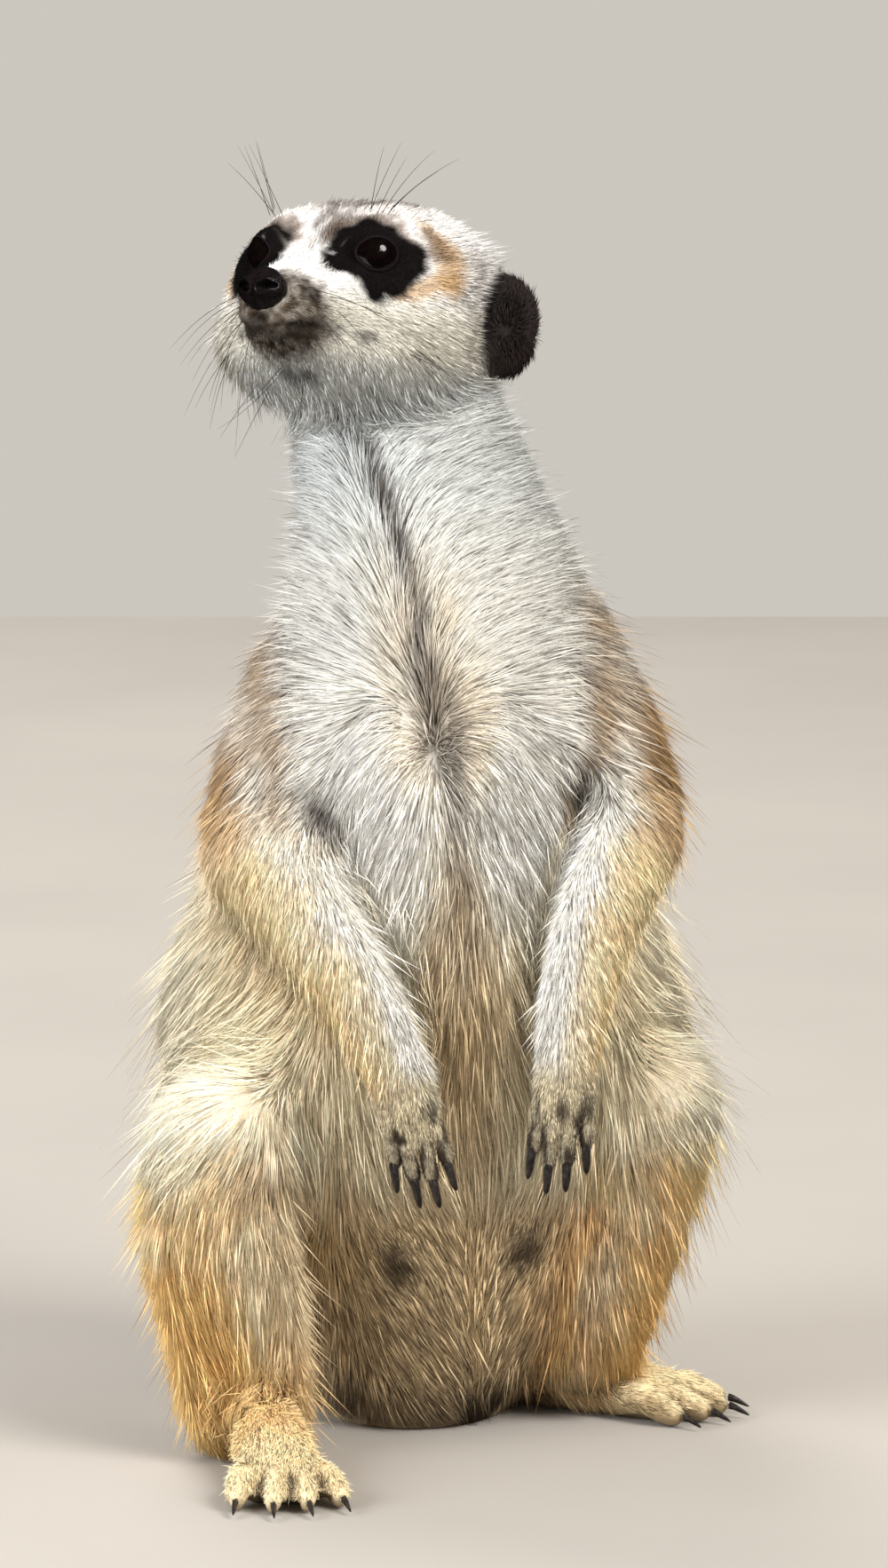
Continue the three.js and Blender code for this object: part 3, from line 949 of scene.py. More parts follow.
        patch, above = np.min([chain(eyed, line) for line in EYE_PATCH], axis=0), chain(eyed, BROW_PATCH)
        edge = step(1.3, -1.1, np.minimum(patch, above + 0.6) + fine * 0.9)
        halo = step(2.6, -0.6, np.minimum(patch, above - 1.0) + fine * 1.2) * step(5, 9, z)
        before_ear = blob(half, (-2.0, 29, -4), (4.2, 6, 12), 0.5)
        rim = c.ear * (1 + 0.25 * speckle)[:, None]
        hollow = blob(half, (-13.5, 29, -5), (8.2, 8, 10.5), 0.3)
        deep_shade = blob(half, (-10.5, 29, -2.5), (5.5, 9, 7.5), 0.7)
        on_ear = places.part(Part.EAR)
        return layered(
            colour,
            (c.russet, halo * 0.8),
            (c.eye_patch, edge),
            (c.tan, blob(half, (24.6, 10.2, 1.4), (0.8, 0.8, 0.8), 0.5) * 0.6),
            (c.throat, step(-14, -20, x) * step(8, 0, z) * 0.6),
            (c.back, step(-10, -22, x) * step(26, 16, y) * step(-6, 4, z) * 0.65),
            (c.crown, np.clip(before_ear * (0.35 + 0.9 * fine), 0, 0.8)),
            (rim, hollow * 0.95),
            (rim, on_ear),
            # painted shade deep in the ear's hollow, over its dark skin
            (c.ear_hollow_shade, deep_shade * np.maximum(hollow, on_ear) * 0.9),
        )


# ---- the skin
@dataclass
class EyeSocket:
    """One eye's place in the head's frame, and the lids' opening round it."""

    side: int
    radius: float = 5.2
    half_width: float = 51.0
    half_height: float = 43.5
    inner_corner: float = 11.0
    outer_corner: float = 4.0
    fold: float = 0.35
    lid: float = 0.6
    lid_fullness: float = 0.62
    blend: float = 0.9
    recess: float = 1.1
    cover: float = 0.4

    def __post_init__(self) -> None:
        """Sets the eye's own axes: the gaze, the way to the nose and up."""
        self.centre = np.array([EYE[0], EYE[1] if self.side > 0 else FAR_EYE_ASIDE, EYE[2]])
        self.gaze = unit(np.array([0.80, 0.58 * self.side, 0.02]))
        inner = np.array([0.0, -float(self.side), 0.0])
        self.inner = unit(inner - self.gaze * (inner @ self.gaze))
        self.above = np.cross(self.gaze, self.inner) * -self.side

    def angles(self, local: Array) -> tuple[Array, Array, Array]:
        """Distance from the eye's middle, degrees from the gaze, and degrees past the lids' edge."""
        away = local - self.centre
        reach = lengths(away)
        turn = np.degrees(np.arccos(np.clip((away @ self.gaze) / np.maximum(reach, 1e-6), -1, 1)))
        round_gaze = np.arctan2(away @ self.above, away @ self.inner)
        return reach, turn, turn - self.edge(round_gaze)

    def edge(self, round_gaze: Array) -> Array:
        """Degrees from the gaze to the lids' edge, for angles counted from the nose's side upwards."""
        across, upright = np.cos(round_gaze), np.sin(round_gaze)
        oval = 1 / np.sqrt((across / self.half_width) ** 2 + (upright / self.half_height) ** 2)
        inner = self.inner_corner * np.clip(across, 0, 1) ** 8
        outer = self.outer_corner * np.clip(-across, 0, 1) ** 6
        return oval + inner + outer - 2 * upright

    def shape_lids(self, local: Array) -> Array:
        """Draws the skin in behind the ball where the lids are open, and lays full lids round it.

        Args:
            local: Points of the skin in the head's frame.

        Returns:
            The moved points.
        """
        reach, _, past = self.angles(local)
        flare = np.cos(np.radians(np.clip(past * self.lid_fullness, 0, 48)))
        lids = (self.radius + self.lid) / flare - self.fold * np.exp(-(((past - 11) / 3.5) ** 2))
        full = np.logaddexp(reach / self.blend, lids / self.blend) * self.blend
        full -= self.blend * math.log(2) * step(4, 0, abs(reach - lids))
        outside = np.where(past > 0, full, lids)
        behind = self.radius - self.recess
        wanted = behind + (outside - behind) * step(-4, 2, past)
        weight = step(72, 34, past) * step(15, 10, reach)
        scale = 1 + weight * (wanted / np.maximum(reach, 1e-6) - 1)
        least = (self.radius + self.cover) * step(0, 6, past)
        scale = np.maximum(scale, least / np.maximum(reach, 1e-6))
        return self.centre + (local - self.centre) * scale[:, None]


@dataclass(frozen=True)
class Swelling:
    """A rise or a hollow in the head's surface, mirrored on both sides."""

    centre: tuple
    radius: float
    height: float


HEAD_FORMS = (
    Swelling((8.0, 14.0, 15.0), 9.0, 0.9),
    Swelling((24.5, 8.5, 2.0), 6.0, -1.3),
    Swelling((20.0, 0.0, 9.0), 6.5, -0.7),
    Swelling((14.0, 23.0, -8.0), 9.0, 0.9),
    Swelling((33.0, 7.0, -8.5), 5.0, 1.0),
    Swelling((26.0, 14.0, -12.0), 5.5, -0.6),
    Swelling((4.0, 27.0, -12.0), 9.0, 0.8),
    Swelling((31.0, 0.0, -19.0), 6.0, 0.8),
    Swelling((-13.5, 29.5, -4.5), 7.5, -3.4),
)
MOUTH = [
    (40.5, 0.0, -11.6, 0.2), (36.0, 5.4, -13.0, 0.3), (29.0, 11.0, -13.4, 0.35), (20.0, 17.0, -13.6, 0.2),
]


@dataclass
class Skin:
    """One skin over the whole animal, inside the coat."""

    head: HeadFrame
    flesh: Flesh
    voxel: float = 0.85
    fine_ahead: float = 12.0
    kept_triangles: int = 190000
    mouth_depth: float = 0.7
    evening_rounds: int = 26
    crease_depth: float = 3.4
    crease_width: float = 5.0
    digit_groove: float = 1.9
    nose_recess: float = 1.6
    floor_gap: float = 0.25

    def __post_init__(self) -> None:
        """Places both eye sockets."""
        self.sockets = [EyeSocket(sign) for sign in SIDES.values()]

    def build(self) -> Surface:
        """Makes the skin's surface from the nodes of flesh."""
        block = make_object("skin_rough", self.flesh.points, self.flesh.block_faces)
        remesh = block.modifiers.new("one_skin", "REMESH")
        remesh.mode = "VOXEL"
        remesh.voxel_size = self.voxel * MM
        fingers = []
        for bends in self.flesh.fingers["left"] + self.flesh.fingers["right"]:
            fingers.append(make_object(f"finger_{len(fingers)}", *self.flesh.finger_shape(bends)))
            union = block.modifiers.new(fingers[-1].name, "BOOLEAN")
            union.operation, union.solver, union.object = "UNION", "MANIFOLD", fingers[-1]
        mesh = evaluated(block)
        for made in fingers:
            bpy.data.objects.remove(made)
        self.refine(mesh)
        surface = Surface(*arrays_of(mesh))
        self.shape(surface)
        return self.thinned(surface)

    def refine(self, mesh: bpy.types.Mesh) -> None:
        """Splits the faces of the muzzle once, and those round the eyes twice."""
        centres = np.array([socket.centre for socket in self.sockets])
        for reach, ahead in ((11.0, self.fine_ahead), (8.5, 99.0)):
            work = bmesh.new()
            work.from_mesh(mesh)
            places = self.head.local(np.array([e.verts[0].co for e in work.edges]) / MM)
            near = np.linalg.norm(places[:, None] - centres, axis=2).min(axis=1) < reach
            muzzle = (places[:, 0] > ahead) & (np.abs(places[:, 1]) < 30) & (places[:, 2] > -34)
            chosen = [edge for edge, wanted in zip(work.edges, near | muzzle) if wanted]
            bmesh.ops.subdivide_edges(work, edges=chosen, cuts=1, use_grid_fill=True)
            bmesh.ops.triangulate(work, faces=[f for f in work.faces if len(f.verts) > 4])
            work.to_mesh(mesh)
            work.free()

    def shape(self, surface: Surface) -> None:
        """Evens out the facets, draws the skin in by the coat's depth and works the face."""
        parts = self.flesh.parts_at(surface.points, self.flesh.nodes_at(surface.points))
        firm = parts[:, [Part.HAND.value, Part.FOOT.value, Part.EAR.value]] @ [0.35, 1.0, 1.0]
        firm = np.clip(surface.spread(firm, 6) * 1.4, 0, 1)
        free = 1 - step(0.5, 3.0, self.flesh.finger_reach(surface.points))
        rested = surface.points[:, 2].copy()
        surface.points = surface.spread(surface.points, self.evening_rounds, 0.5 * (1 - firm) * free)
        surface.points = surface.spread(surface.points, 2, 0.4 * free)
        self.crease(surface)
        surface.move(surface.normals(), -self.flesh.grooves(surface.points)[0] * self.digit_groove)
        depth = surface.spread(parts @ np.array([HAIR[part].depth for part in Part]), 60)
        inwards = -surface.normals()
        inwards[:, 2] *= step(0.6, 6.0, rested)
        surface.move(inwards, depth * free)
        surface.points = surface.spread(surface.points, 4, 0.4 * free)
        low = step(2.5, 0.8, rested)
        surface.points[:, 2] += low * (rested + 0.3 - surface.points[:, 2])
        surface.points[:, 2] = np.maximum(surface.points[:, 2], self.floor_gap)
        self.work_face(surface)

    def crease(self, surface: Surface) -> None:
        """Draws the skin in where the arms leave the breast, and rounds the breast between."""
        normals = surface.normals()
        depth = step(self.crease_width, 0, near_creases(surface.points))
        breast = blob(surface.points, (3.0, -34.0, 138.0), (20, 14, 27), 0.6)
        breast = breast * step(-0.2, -0.7, normals[:, 1])
        teats = sum(blob(surface.points, teat, (3.0, 9, 3.4), 0.9) for teat in TEATS)
        surface.move(normals, breast * 1.3 + teats * 1.6 - depth * self.crease_depth)

    def work_face(self, surface: Surface) -> None:
        """Swells and hollows the head, cuts the mouth and lays the lids over the eyes."""
        local = self.head.local(surface.points)
        near = lengths(local - [12, 0, -4]) < 48
        half = mirrored(local)
        rise = np.zeros(len(local))
        for form in HEAD_FORMS:
            reach = lengths(half - form.centre) / form.radius
            rise += form.height * np.clip(1 - reach**2, 0, 1) ** 2
        groove = chain(half, MOUTH)
        ahead = step(19, 27, half[:, 0])
        rise -= self.mouth_depth * step(1.1, 0.1, groove) * ahead
        rise += 0.35 * step(2.6, 1.4, groove) * step(0.6, 1.3, groove) * ahead
        local += surface.normals() @ self.head.axes.T * (rise * near)[:, None]
        away = local - self.head.local(self.head.nose)
        in_nose = step(1.04, 0.9, lengths(away / NOSE_RADII))
        local[:, 0] -= in_nose * np.clip(away[:, 0] + self.nose_recess, 0, None)
        for socket in self.sockets:
            local = socket.shape_lids(local)
        surface.points = np.where(near[:, None], self.head.world(local), surface.points)

    def thinned(self, surface: Surface) -> Surface:
        """Drops faces where the coat hides them, and keeps those of the face, hands and feet."""
        parts = self.flesh.parts_at(surface.points, self.flesh.nodes_at(surface.points))
        keep = parts[:, [Part.HAND.value, Part.FOOT.value, Part.EAR.value]].sum(axis=1)
        face = step(-8, 2, self.head.local(surface.points)[:, 0]) * parts[:, Part.HEAD.value]
        plain = 1 - np.maximum(keep, face)
        made = make_object("skin_fine", surface.points, surface.faces)
        group = made.vertex_groups.new(name="plain")
        for level in (0.25, 0.5, 0.75, 1.0):
            chosen = np.flatnonzero(np.round(plain * 4) / 4 == level).tolist()
            group.add(chosen, level, "REPLACE")
        thin = made.modifiers.new("thin", "DECIMATE")
        thin.ratio = self.kept_triangles / len(surface.faces)
        thin.vertex_group = "plain"
        thin.vertex_group_factor = 4.0
        result = Surface(*arrays_of(evaluated(made)))
        LOG.info("skin: %d triangles of %d", len(result.faces), len(surface.faces))
        return result

    def tint(self, colours: Array, places: Places) -> Array:
        """The skin's colours: dark under the long hair, the coat's own where it is short."""
        short = places.part(Part.HAND, Part.FOOT, Part.EAR)
        short = np.maximum(short, places.part(Part.HEAD) * 0.7)
        return colours * (0.66 + 0.2 * short)[:, None]


# ---- the lie of the coat
@dataclass
class LieOfCoat:
    """Which way the hair lies over the skin."""

    head: HeadFrame
    flesh: Flesh
    fan: tuple = ((0, 78), (8, 58), (20, 34), (45, 14), (80, -12), (120, -62), (150, -88), (180, -88))
    fall: tuple = ((0, -80), (40, -72), (90, -80), (180, -88))
    evening_rounds: int = 3
    sweeps: tuple = (
        ((-38.0, -30.0, 93.0), (15.0, 18.0, 14.0), (-0.85, -0.1, -0.5)),
        ((-50.0, -12.0, 108.0), (12.0, 25.0, 20.0), (-0.5, 0.1, -0.85)),
        ((-54.0, -42.0, 76.0), (11.0, 20.0, 14.0), (-0.7, -0.2, -0.7)),
        ((44.0, -26.0, 88.0), (13.0, 16.0, 9.0), (0.85, -0.1, -0.4)),
        ((50.0, -10.0, 105.0), (12.0, 25.0, 16.0), (0.45, 0.1, -0.9)),
    )

    @staticmethod
    def cowlicks() -> list[tuple]:
        """The whorl of the chest, and those of the armpits and the knees: middle, reach and added pull."""
        licks = [(WHORL, 11.0, (0.0, 0.0, 0.0))]
        licks += [(pit, 15.0, (0.0, 0.0, -0.8)) for pit in ARMPITS.values()]
        return licks + [(KNEES[side], 30.0, (sign * 0.25, 0.0, -1.1)) for side, sign in SIDES.items()]

    def over(self, surface: Surface, nodes: Array, places: Places) -> Array:
        """Finds the direction of the hair at each point of the skin.

        Args:
            surface: The skin.
            nodes: The number of the solid that each point belongs to.
            places: The skin's points.

        Returns:
            Unit vectors along the skin, one row for each point.
        """
        limb = step(0.35, 0.65, places.part(*LIMBS, Part.TAIL))
        wanted = mix(self.trunk(places), self.runs()[nodes], limb)
        out = np.sign(places.points[:, 0] - 2)
        arm = places.part(Part.SHOULDER, Part.FOREARM) * step(-0.2, 0.8, places.normals[:, 0] * out)
        wanted[:, 0] += arm * out * 0.55
        wanted = mix(wanted, self.face(places), step(0.35, 0.65, places.part(Part.HEAD, Part.EAR)))
        for centre, radii, way in self.sweeps:
            wanted = mix(wanted, np.array(way), blob(places.points, centre, radii, 0.6))
        for middle, reach, pull in self.cowlicks():
            away = places.points - middle
            wanted = mix(wanted, unit(away) + pull, step(reach, reach * 0.25, lengths(away)))
        for _ in range(self.evening_rounds):
            along = dot(wanted, places.normals)
            wanted = surface.spread(unit(wanted - places.normals * along[:, None]), 9)
        along = dot(wanted, places.normals)
        return unit(wanted - places.normals * along[:, None])

    def runs(self) -> Array:
        """The way the hair of each solid of the limbs and the tail runs, towards the toes or the tip."""
        middle = HeadFrame.middle
        ways = {name: -UP for name in self.flesh.names}
        for side, sign in SIDES.items():
            out = np.array([sign, 0.0, 0.0])
            hand = np.mean([middle(f"forepaw_{side}_claw_{digit}") for digit in DIGITS], axis=0)
            toes = np.mean([middle(f"hindfoot_{side}_claw_{digit}") for digit in DIGITS], axis=0)
            elbow, wrist, foot = (middle(f"{stem}_{side}") for stem in ("forearm", "forepaw", "hindfoot"))
            ways[f"upper_arm_{side}"] = unit(elbow - middle(f"upper_arm_{side}")) + out * 0.55
            ways[f"forearm_{side}"] = unit(wrist - elbow) + out * 0.3
            ways[f"forepaw_{side}"] = unit(hand - wrist)
            ways[f"thigh_{side}"] = out * 0.35 + [0, -0.25, -0.9]
            ways[f"shin_{side}"] = unit(foot - middle(f"shin_{side}")) + out * 0.15 - UP * 0.4
            ways[f"hindfoot_{side}"] = unit(toes - foot)
        ways["tail_root"] = unit(middle("tail_middle") - middle("tail_root"))
        ways["tail_middle"] = unit(middle("tail_tip") - middle("tail_root"))
        ways["tail_tip"] = unit(middle("tail_tip") - middle("tail_middle"))
        return unit(np.array([ways[name] for name in self.flesh.names]))

    def trunk(self, places: Places) -> Array:
        """Up and outwards above the whorl, down below it, and back towards the tail at the rump.

        Args:
            places: Places on the skin.

        Returns:
            Directions, one row for each place.
        """
        turn, z = places.round_body(), places.points[:, 2]
        above = np.interp(turn, *zip(*self.fan))
        below = np.interp(turn, *zip(*self.fall))
        middle = np.abs(places.points[:, 0] - midline_at(z))
        edge = np.interp(middle, [0, 5, 11, 17, 23, 29, 60], [155, 161, 167, 164, 155, 145, 140])
        lean = np.radians(below + (above - below) * step(-4, 4, z - edge))
        sideways = unit(np.cross(UP, places.normals)) * places.side()[:, None]
        upward = unit(UP - places.normals * places.normals[:, 2:])
        lie = np.cos(lean)[:, None] * sideways + np.sin(lean)[:, None] * upward
        fork = step(82, 58, z) * step(75, 40, turn)
        lie = mix(lie, -0.55 * sideways - 0.8 * upward, fork)
        behind = step(40, 20, z) * step(20, 45, places.points[:, 1])
        return mix(lie, np.array([0.0, 0.9, -0.35]), behind)

    def face(self, places: Places) -> Array:
        """Back from the nose, away from the eyes, down the cheeks and out to the ears' rims.

        Args:
            places: Places on the skin.

        Returns:
            Directions, one row for each place.
        """
        sign = np.sign(places.head[:, 1] + 1e-6)
        mirror = np.column_stack([np.ones(len(sign)), sign, np.ones(len(sign))])
        half = places.head * mirror
        lie = np.tile([-1.0, 0.05, 0.0], (len(half), 1))
        for centre, radii, way in (
            ((36, 5, -7), (10, 9, 8), (-0.85, 0.5, -0.25)),
            ((12, 24, -10), (15, 11, 10), (-0.9, 0.25, -0.3)),
            ((24, 4, -21), (14, 13, 6), (-0.75, 0.1, -0.7)),
            ((8, 12, -24), (24, 17, 8), (-0.5, 0.1, -0.9)),
            ((-16, 8, 2), (9, 20, 22), (-0.8, 0.05, -0.7)),
        ):
            lie = mix(lie, np.tile(way, (len(half), 1)), blob(half, centre, radii, 0.5))
        away = half - EYE
        near = step(15, 7, lengths(away))
        lie = mix(lie, unit(away * [1, 1, 1.3]) + [-0.35, 0, 0], near)
        ear = half - self.head.local(HeadFrame.middle("ear_left"))
        lie = mix(lie, unit(ear) + [-0.1, 0, 0.15], places.part(Part.EAR))
        return self.head.turned(lie * mirror)


# ---- the coat
@dataclass
class Traits:
    """How the hair grows at each place, in millimetres, degrees and shares."""

    length: Array
    width: Array
    lift: Array
    count: Array
    clump: Array
    tick: Array


@dataclass
class Strands:
    """Hairs as arrays: root, ring and tip, the skin's normal, width, colours at the three and the piece."""

    root: Array
    ring: Array
    tip: Array
    normal: Array
    width: Array
    root_colour: Array
    ring_colour: Array
    tip_colour: Array
    piece: Array


class Lock(Enum):
    """The pieces that the coat is made in."""

    FACE = "coat_face"
    CROWN = "coat_crown_and_ears"
    NECK = "coat_neck"
    CHEST = "coat_chest"
    BELLY = "coat_belly"
    BACK = "coat_back"
    LOINS = "coat_loins"
    ARMS = "coat_arms"
    HANDS = "coat_hands"
    FEET = "coat_feet"
    THIGHS = "coat_thighs"
    SHINS = "coat_shins"
    TAIL = "coat_tail"


LOCK_OF_PART = {
    Part.HEAD: Lock.CROWN, Part.EAR: Lock.CROWN, Part.NECK: Lock.NECK, Part.CHEST: Lock.CHEST,
    Part.BELLY: Lock.BELLY, Part.RUMP: Lock.BACK, Part.SHOULDER: Lock.ARMS, Part.FOREARM: Lock.ARMS,
    Part.HAND: Lock.HANDS, Part.THIGH: Lock.THIGHS, Part.SHIN: Lock.SHINS, Part.FOOT: Lock.FEET,
    Part.TAIL: Lock.TAIL,
}


def swayed(ways: Array, normals: Array, angles: Array) -> Array:
    """Turns directions on the skin about its normals."""
    return unit(ways * np.cos(angles)[:, None] + np.cross(normals, ways) * np.sin(angles)[:, None])


@dataclass
class Coat:
    """All the hair, as thin closed slivers that lie over the skin."""

    head: HeadFrame
    skin: Skin
    surface: Surface
    places: Places
    lie: Array
    markings: Markings
    most_in_piece: int = 49500
    most_in_all: int = 372000
    ring_at: float = 0.42
    ring_rise: float = 0.35
    most_bulge: float = 0.1
    clump_spacing: float = 4.2
    loins_below: float = 92.0
    strays: float = 0.03
    root_sunk: float = 0.3
    least_height: float = 0.15
    tick_tint: Array = screen(74, 60, 50)
    root_tint: Array = field(default_factory=lambda: np.array([0.82, 0.78, 0.73]))

    def __post_init__(self) -> None:
        """Prepares the search for the nearest place on the skin."""
        self.random = np.random.default_rng(SEED)
        self.tree = BVHTree.FromPolygons(self.surface.points.tolist(), self.surface.faces.tolist())

    def traits(self, places: Places) -> Traits:
        """How the hair grows at each place, from its part and from where on it the place is.

        Args:
            places: Where the hair grows.

        Returns:
            Its traits there.
        """
        names = ("length", "width", "lift", "count", "clump", "ticks")
        rows = np.array([[getattr(HAIR[part], name) for name in names] for part in Part])
        length, width, lift, count, clump, tick = (places.parts @ rows).T
        half = mirrored(places.head)
        on_head = places.part(Part.HEAD)
        from_eye = lengths(half - EYE)
        short = np.maximum(step(16, 30, half[:, 0]), step(15, 10, from_eye)) * on_head
        finger = step(-1.5, 1.0, self.skin.flesh.finger_reach(places.points))
        width = width * (1 - 0.28 * short) * (1 - 0.3 * finger)
        lift = lift * (1 - 0.35 * short)
        on_head_rows = (
            (short, 1, 2.1, 0),
            (step(9.5, 7, from_eye) * (on_head > 0.5), 0.45, 0, 0),
            *((share * on_head, *row) for share, *row in self.head_changes(half, places.head[:, 1] < 0)),
        )
        for share, cut, longer, steeper in (*on_head_rows, *self.body_changes(places, finger)):
            length = length * (1 - cut * share) + longer * share
            lift = lift + steeper * share
        up, z = places.normals[:, 2], places.points[:, 2]
        off_floor = step(2.2, 4.0, z + 2.0 * np.clip(up, -1, 0) * step(4, 3, z))
        off_floor = off_floor * step(-0.97, -0.8, up + step(4, 8, z))
        count = count * (1 + 0.3 * finger) * off_floor * (1 - self.bare(places, half))
        return Traits(length, width, lift, count * (1 + 2.0 * near_whorl(places.points)), clump, tick)

    @staticmethod
    def head_changes(half: Array, far: Array) -> tuple[tuple, ...]:
        """What changes the hair on the head.

        Args:
            half: Places on the head, mirrored.
            far: Which of them are on its right side.

        Returns:
            Rows of a share for each place, how much of the length it takes away, and what it adds to
            the length and to the lift.
        """
        ruff = blob(half, (2, 27, -13), (12, 9, 11), 0.5)
        return (
            (ruff, 0, 0.8, 1),
            (ruff * far, 0, 3.0, 20),
            (step(8, 13, half[:, 2]), 0.35, 0, 0),
            (step(-15, -23, half[:, 2]) * step(26, 16, half[:, 0]), 0, 1.8, -3),
            (blob(half, (-9, 25, 6), (11, 9, 9), 0.7), 0, 3.4, 14),
            (blob(half, (-4, 29, -4), (6, 8, 13), 0.5), 0.35, 0, 0),
            (blob(half, (-13, 29, -5), (7.5, 8, 10), 0.3), 0.55, 0, 0),
            (step(3.5, 1.0, chain(half, MOUTH)), 0.35, 0, 0),
        )

    def body_changes(self, places: Places, finger: Array) -> tuple[tuple, ...]:
        """What changes the hair elsewhere, in rows like those of the head.

        Args:
            places: Where the hair grows.
            finger: 1 on the free fingers.

        Returns:
            Rows of a share for each place, how much of the length it takes away, and what it adds to
            the length and to the lift.
        """
        points, turn = places.points, places.round_body()
        z = points[:, 2]
        toes = step(-1.0, 3.0, self.skin.flesh.grooves(points)[1]) * places.part(Part.FOOT)
        trunk = places.part(Part.BELLY, Part.RUMP)
        flank = step(50, 85, turn) * step(30, 50, z) * step(135, 115, z) * trunk
        fringe = places.part(Part.THIGH, Part.SHIN) * step(0.4, 0.9, np.abs(places.normals[:, 0]))
        return (
            (finger, 1, 1.8, 0),
            (toes, 1, 2.6, 0),
            (flank, 0, 2.5, 5),
            (fringe, 0, 0, 5),
            (np.maximum(near_whorl(points), in_armpits(points)), 0.45, 0, 0),
            (step(5.5, 1.0, near_creases(points)) * step(90, 105, z), 0.5, 0, 0),
            (step(76, 56, z) * step(80, 55, turn) * trunk, 0.42, 0, 0),
            *((blob(points, np.array(teat) + [0, 0, 4], (5, 12, 9), 0.6), 0.55, 0, 0) for teat in TEATS),
        )

    def bare(self, places: Places, half: Array) -> Array:
        """Where no hair grows: on the nose, inside the lids and between the lips.

        Args:
            places: Where hair may grow.
            half: The same places on the head, mirrored.

        Returns:
            1 where the skin is bare.
        """
        from_nose = (places.head - self.head.local(self.head.nose)) * [1.1, 0.95, 1]
        bare = step(5.4, 4.6, lengths(from_nose))
        for socket in self.skin.sockets:
            reach, _, past = socket.angles(places.head)
            bare = np.maximum(bare, step(7.0, 3.0, past) * step(9, 8, reach))
        return np.maximum(bare, step(0.35, 0.1, chain(half, MOUTH)) * places.part(Part.HEAD))

    def sow(self) -> Pair:
        """Chooses the roots.

        Returns:
            The number of the face of each root, and its shares of the face's three corners.
        """
        traits = self.traits(self.places)
        a, b, c = (self.surface.points[self.surface.faces[:, i]] for i in range(3))
        area = lengths(np.cross(b - a, c - a)) / 2
        weight = area * traits.count[self.surface.faces].mean(axis=1)
        total = min(int(weight.sum()), self.most_in_all)
        LOG.info("coat: %.0f mm2 of skin, %.0f hairs wanted, %d made", area.sum(), weight.sum(), total)
        marks = (np.arange(total) + self.random.random(total)) / total * weight.sum()
        chosen = np.searchsorted(np.cumsum(weight), marks)
        first, second = self.random.random((2, total))
        over = first + second > 1
        first[over], second[over] = 1 - first[over], 1 - second[over]
        return np.minimum(chosen, len(area) - 1), np.column_stack([1 - first - second, first, second])

    def blend(self, rows: Array, faces: Array, shares: Array) -> Array:
        """Values of the skin's points, carried to places inside its faces."""
        return (rows[self.surface.faces[faces]] * shares[:, :, None]).sum(axis=1)

    def settle_on_skin(self, targets: Array) -> tuple[Array, Array, Array]:
        """Finds the skin nearest to some points.

        Args:
            targets: The points.

        Returns:
            The nearest places on the skin, with its normals and the lie of the coat there.
        """
        hits = [self.tree.find_nearest(point) for point in targets.tolist()]
        faces = np.array([hit[2] for hit in hits])
        third = np.full((len(faces), 3), 1 / 3)
        normals, lie = (unit(self.blend(rows, faces, third)) for rows in (self.places.normals, self.lie))
        return np.array([hit[0][:] for hit in hits]), normals, lie

    def grow(self) -> Strands:
        """Grows every hair from its root along the lie of the coat."""
        faces, shares = self.sow()
        root = self.blend(self.surface.points, faces, shares)
        normal = unit(self.blend(self.places.normals, faces, shares))
        parts = self.blend(self.places.parts, faces, shares)
        places = Places(root, normal, parts, self.head.local(root))
        traits = self.traits(places)
        count = len(root)
        draw = self.random.normal(size=(6, count))
        way = unit(self.blend(self.lie, faces, shares))
        across = np.cross(normal, way)
        sway = np.radians(noise(root, 9, 31) * 8 + draw[0] * (5 + 40 * near_whorl(root)))
        way = swayed(way, normal, sway)
        stray = self.random.random(count) < self.strays
        length = traits.length * np.clip(1 + 0.2 * draw[1], 0.5, 1.5)
        length *= np.where(stray & (traits.length > 6), 1.5, 1.0)
        lift = np.radians(np.clip(traits.lift + 5 * draw[2] + np.where(stray, 20, 0), 3, 60))
        first, second = length * self.ring_at, length * (1 - self.ring_at)
        start = root + way * (first * np.cos(lift))[:, None]
        base, base_normal, base_way = self.settle_on_skin(start)
        lost = dot(base_normal, normal) < 0.2
        base_way = swayed(base_way, base_normal, sway)
        for rows, plain in ((base_way, way), (base_normal, normal), (base, start)):
            rows[lost] = plain[lost]
        ring = base + base_normal * (first * np.sin(lift) * 1.15)[:, None]
        ahead = base + base_way * (second * np.cos(lift))[:, None]
        end, end_normal, _ = self.settle_on_skin(ahead)
        off = dot(end_normal, base_normal) < 0.1
        off |= lengths(end - ahead) > second * 0.8
        end[off] = ahead[off]
        end_normal[off] = base_normal[off]
        tip = end + end_normal * (length * np.sin(lift) * 0.95)[:, None]
        tip += across * (draw[3] * 0.05 * length)[:, None]
        ring += across * (draw[4] * 0.05 * length)[:, None]
        ring, tip = self.gather(root, ring, tip, traits.clump, normal)
        seen = np.where(places.part(Part.HEAD)[:, None] > 0.5, base, root)
        colours = self.tint(Places(seen, normal, parts, self.head.local(seen)), traits, draw[5])
        width = traits.width * (1 + 0.15 * draw[4])
        sunk = root - normal * self.root_sunk
        made = Strands(sunk, ring, tip, normal, width, *colours, piece=self.pieces(places))
        for rows in (made.root, made.ring, made.tip):
            rows[:, 2] = np.maximum(rows[:, 2], 0.35)
        return made

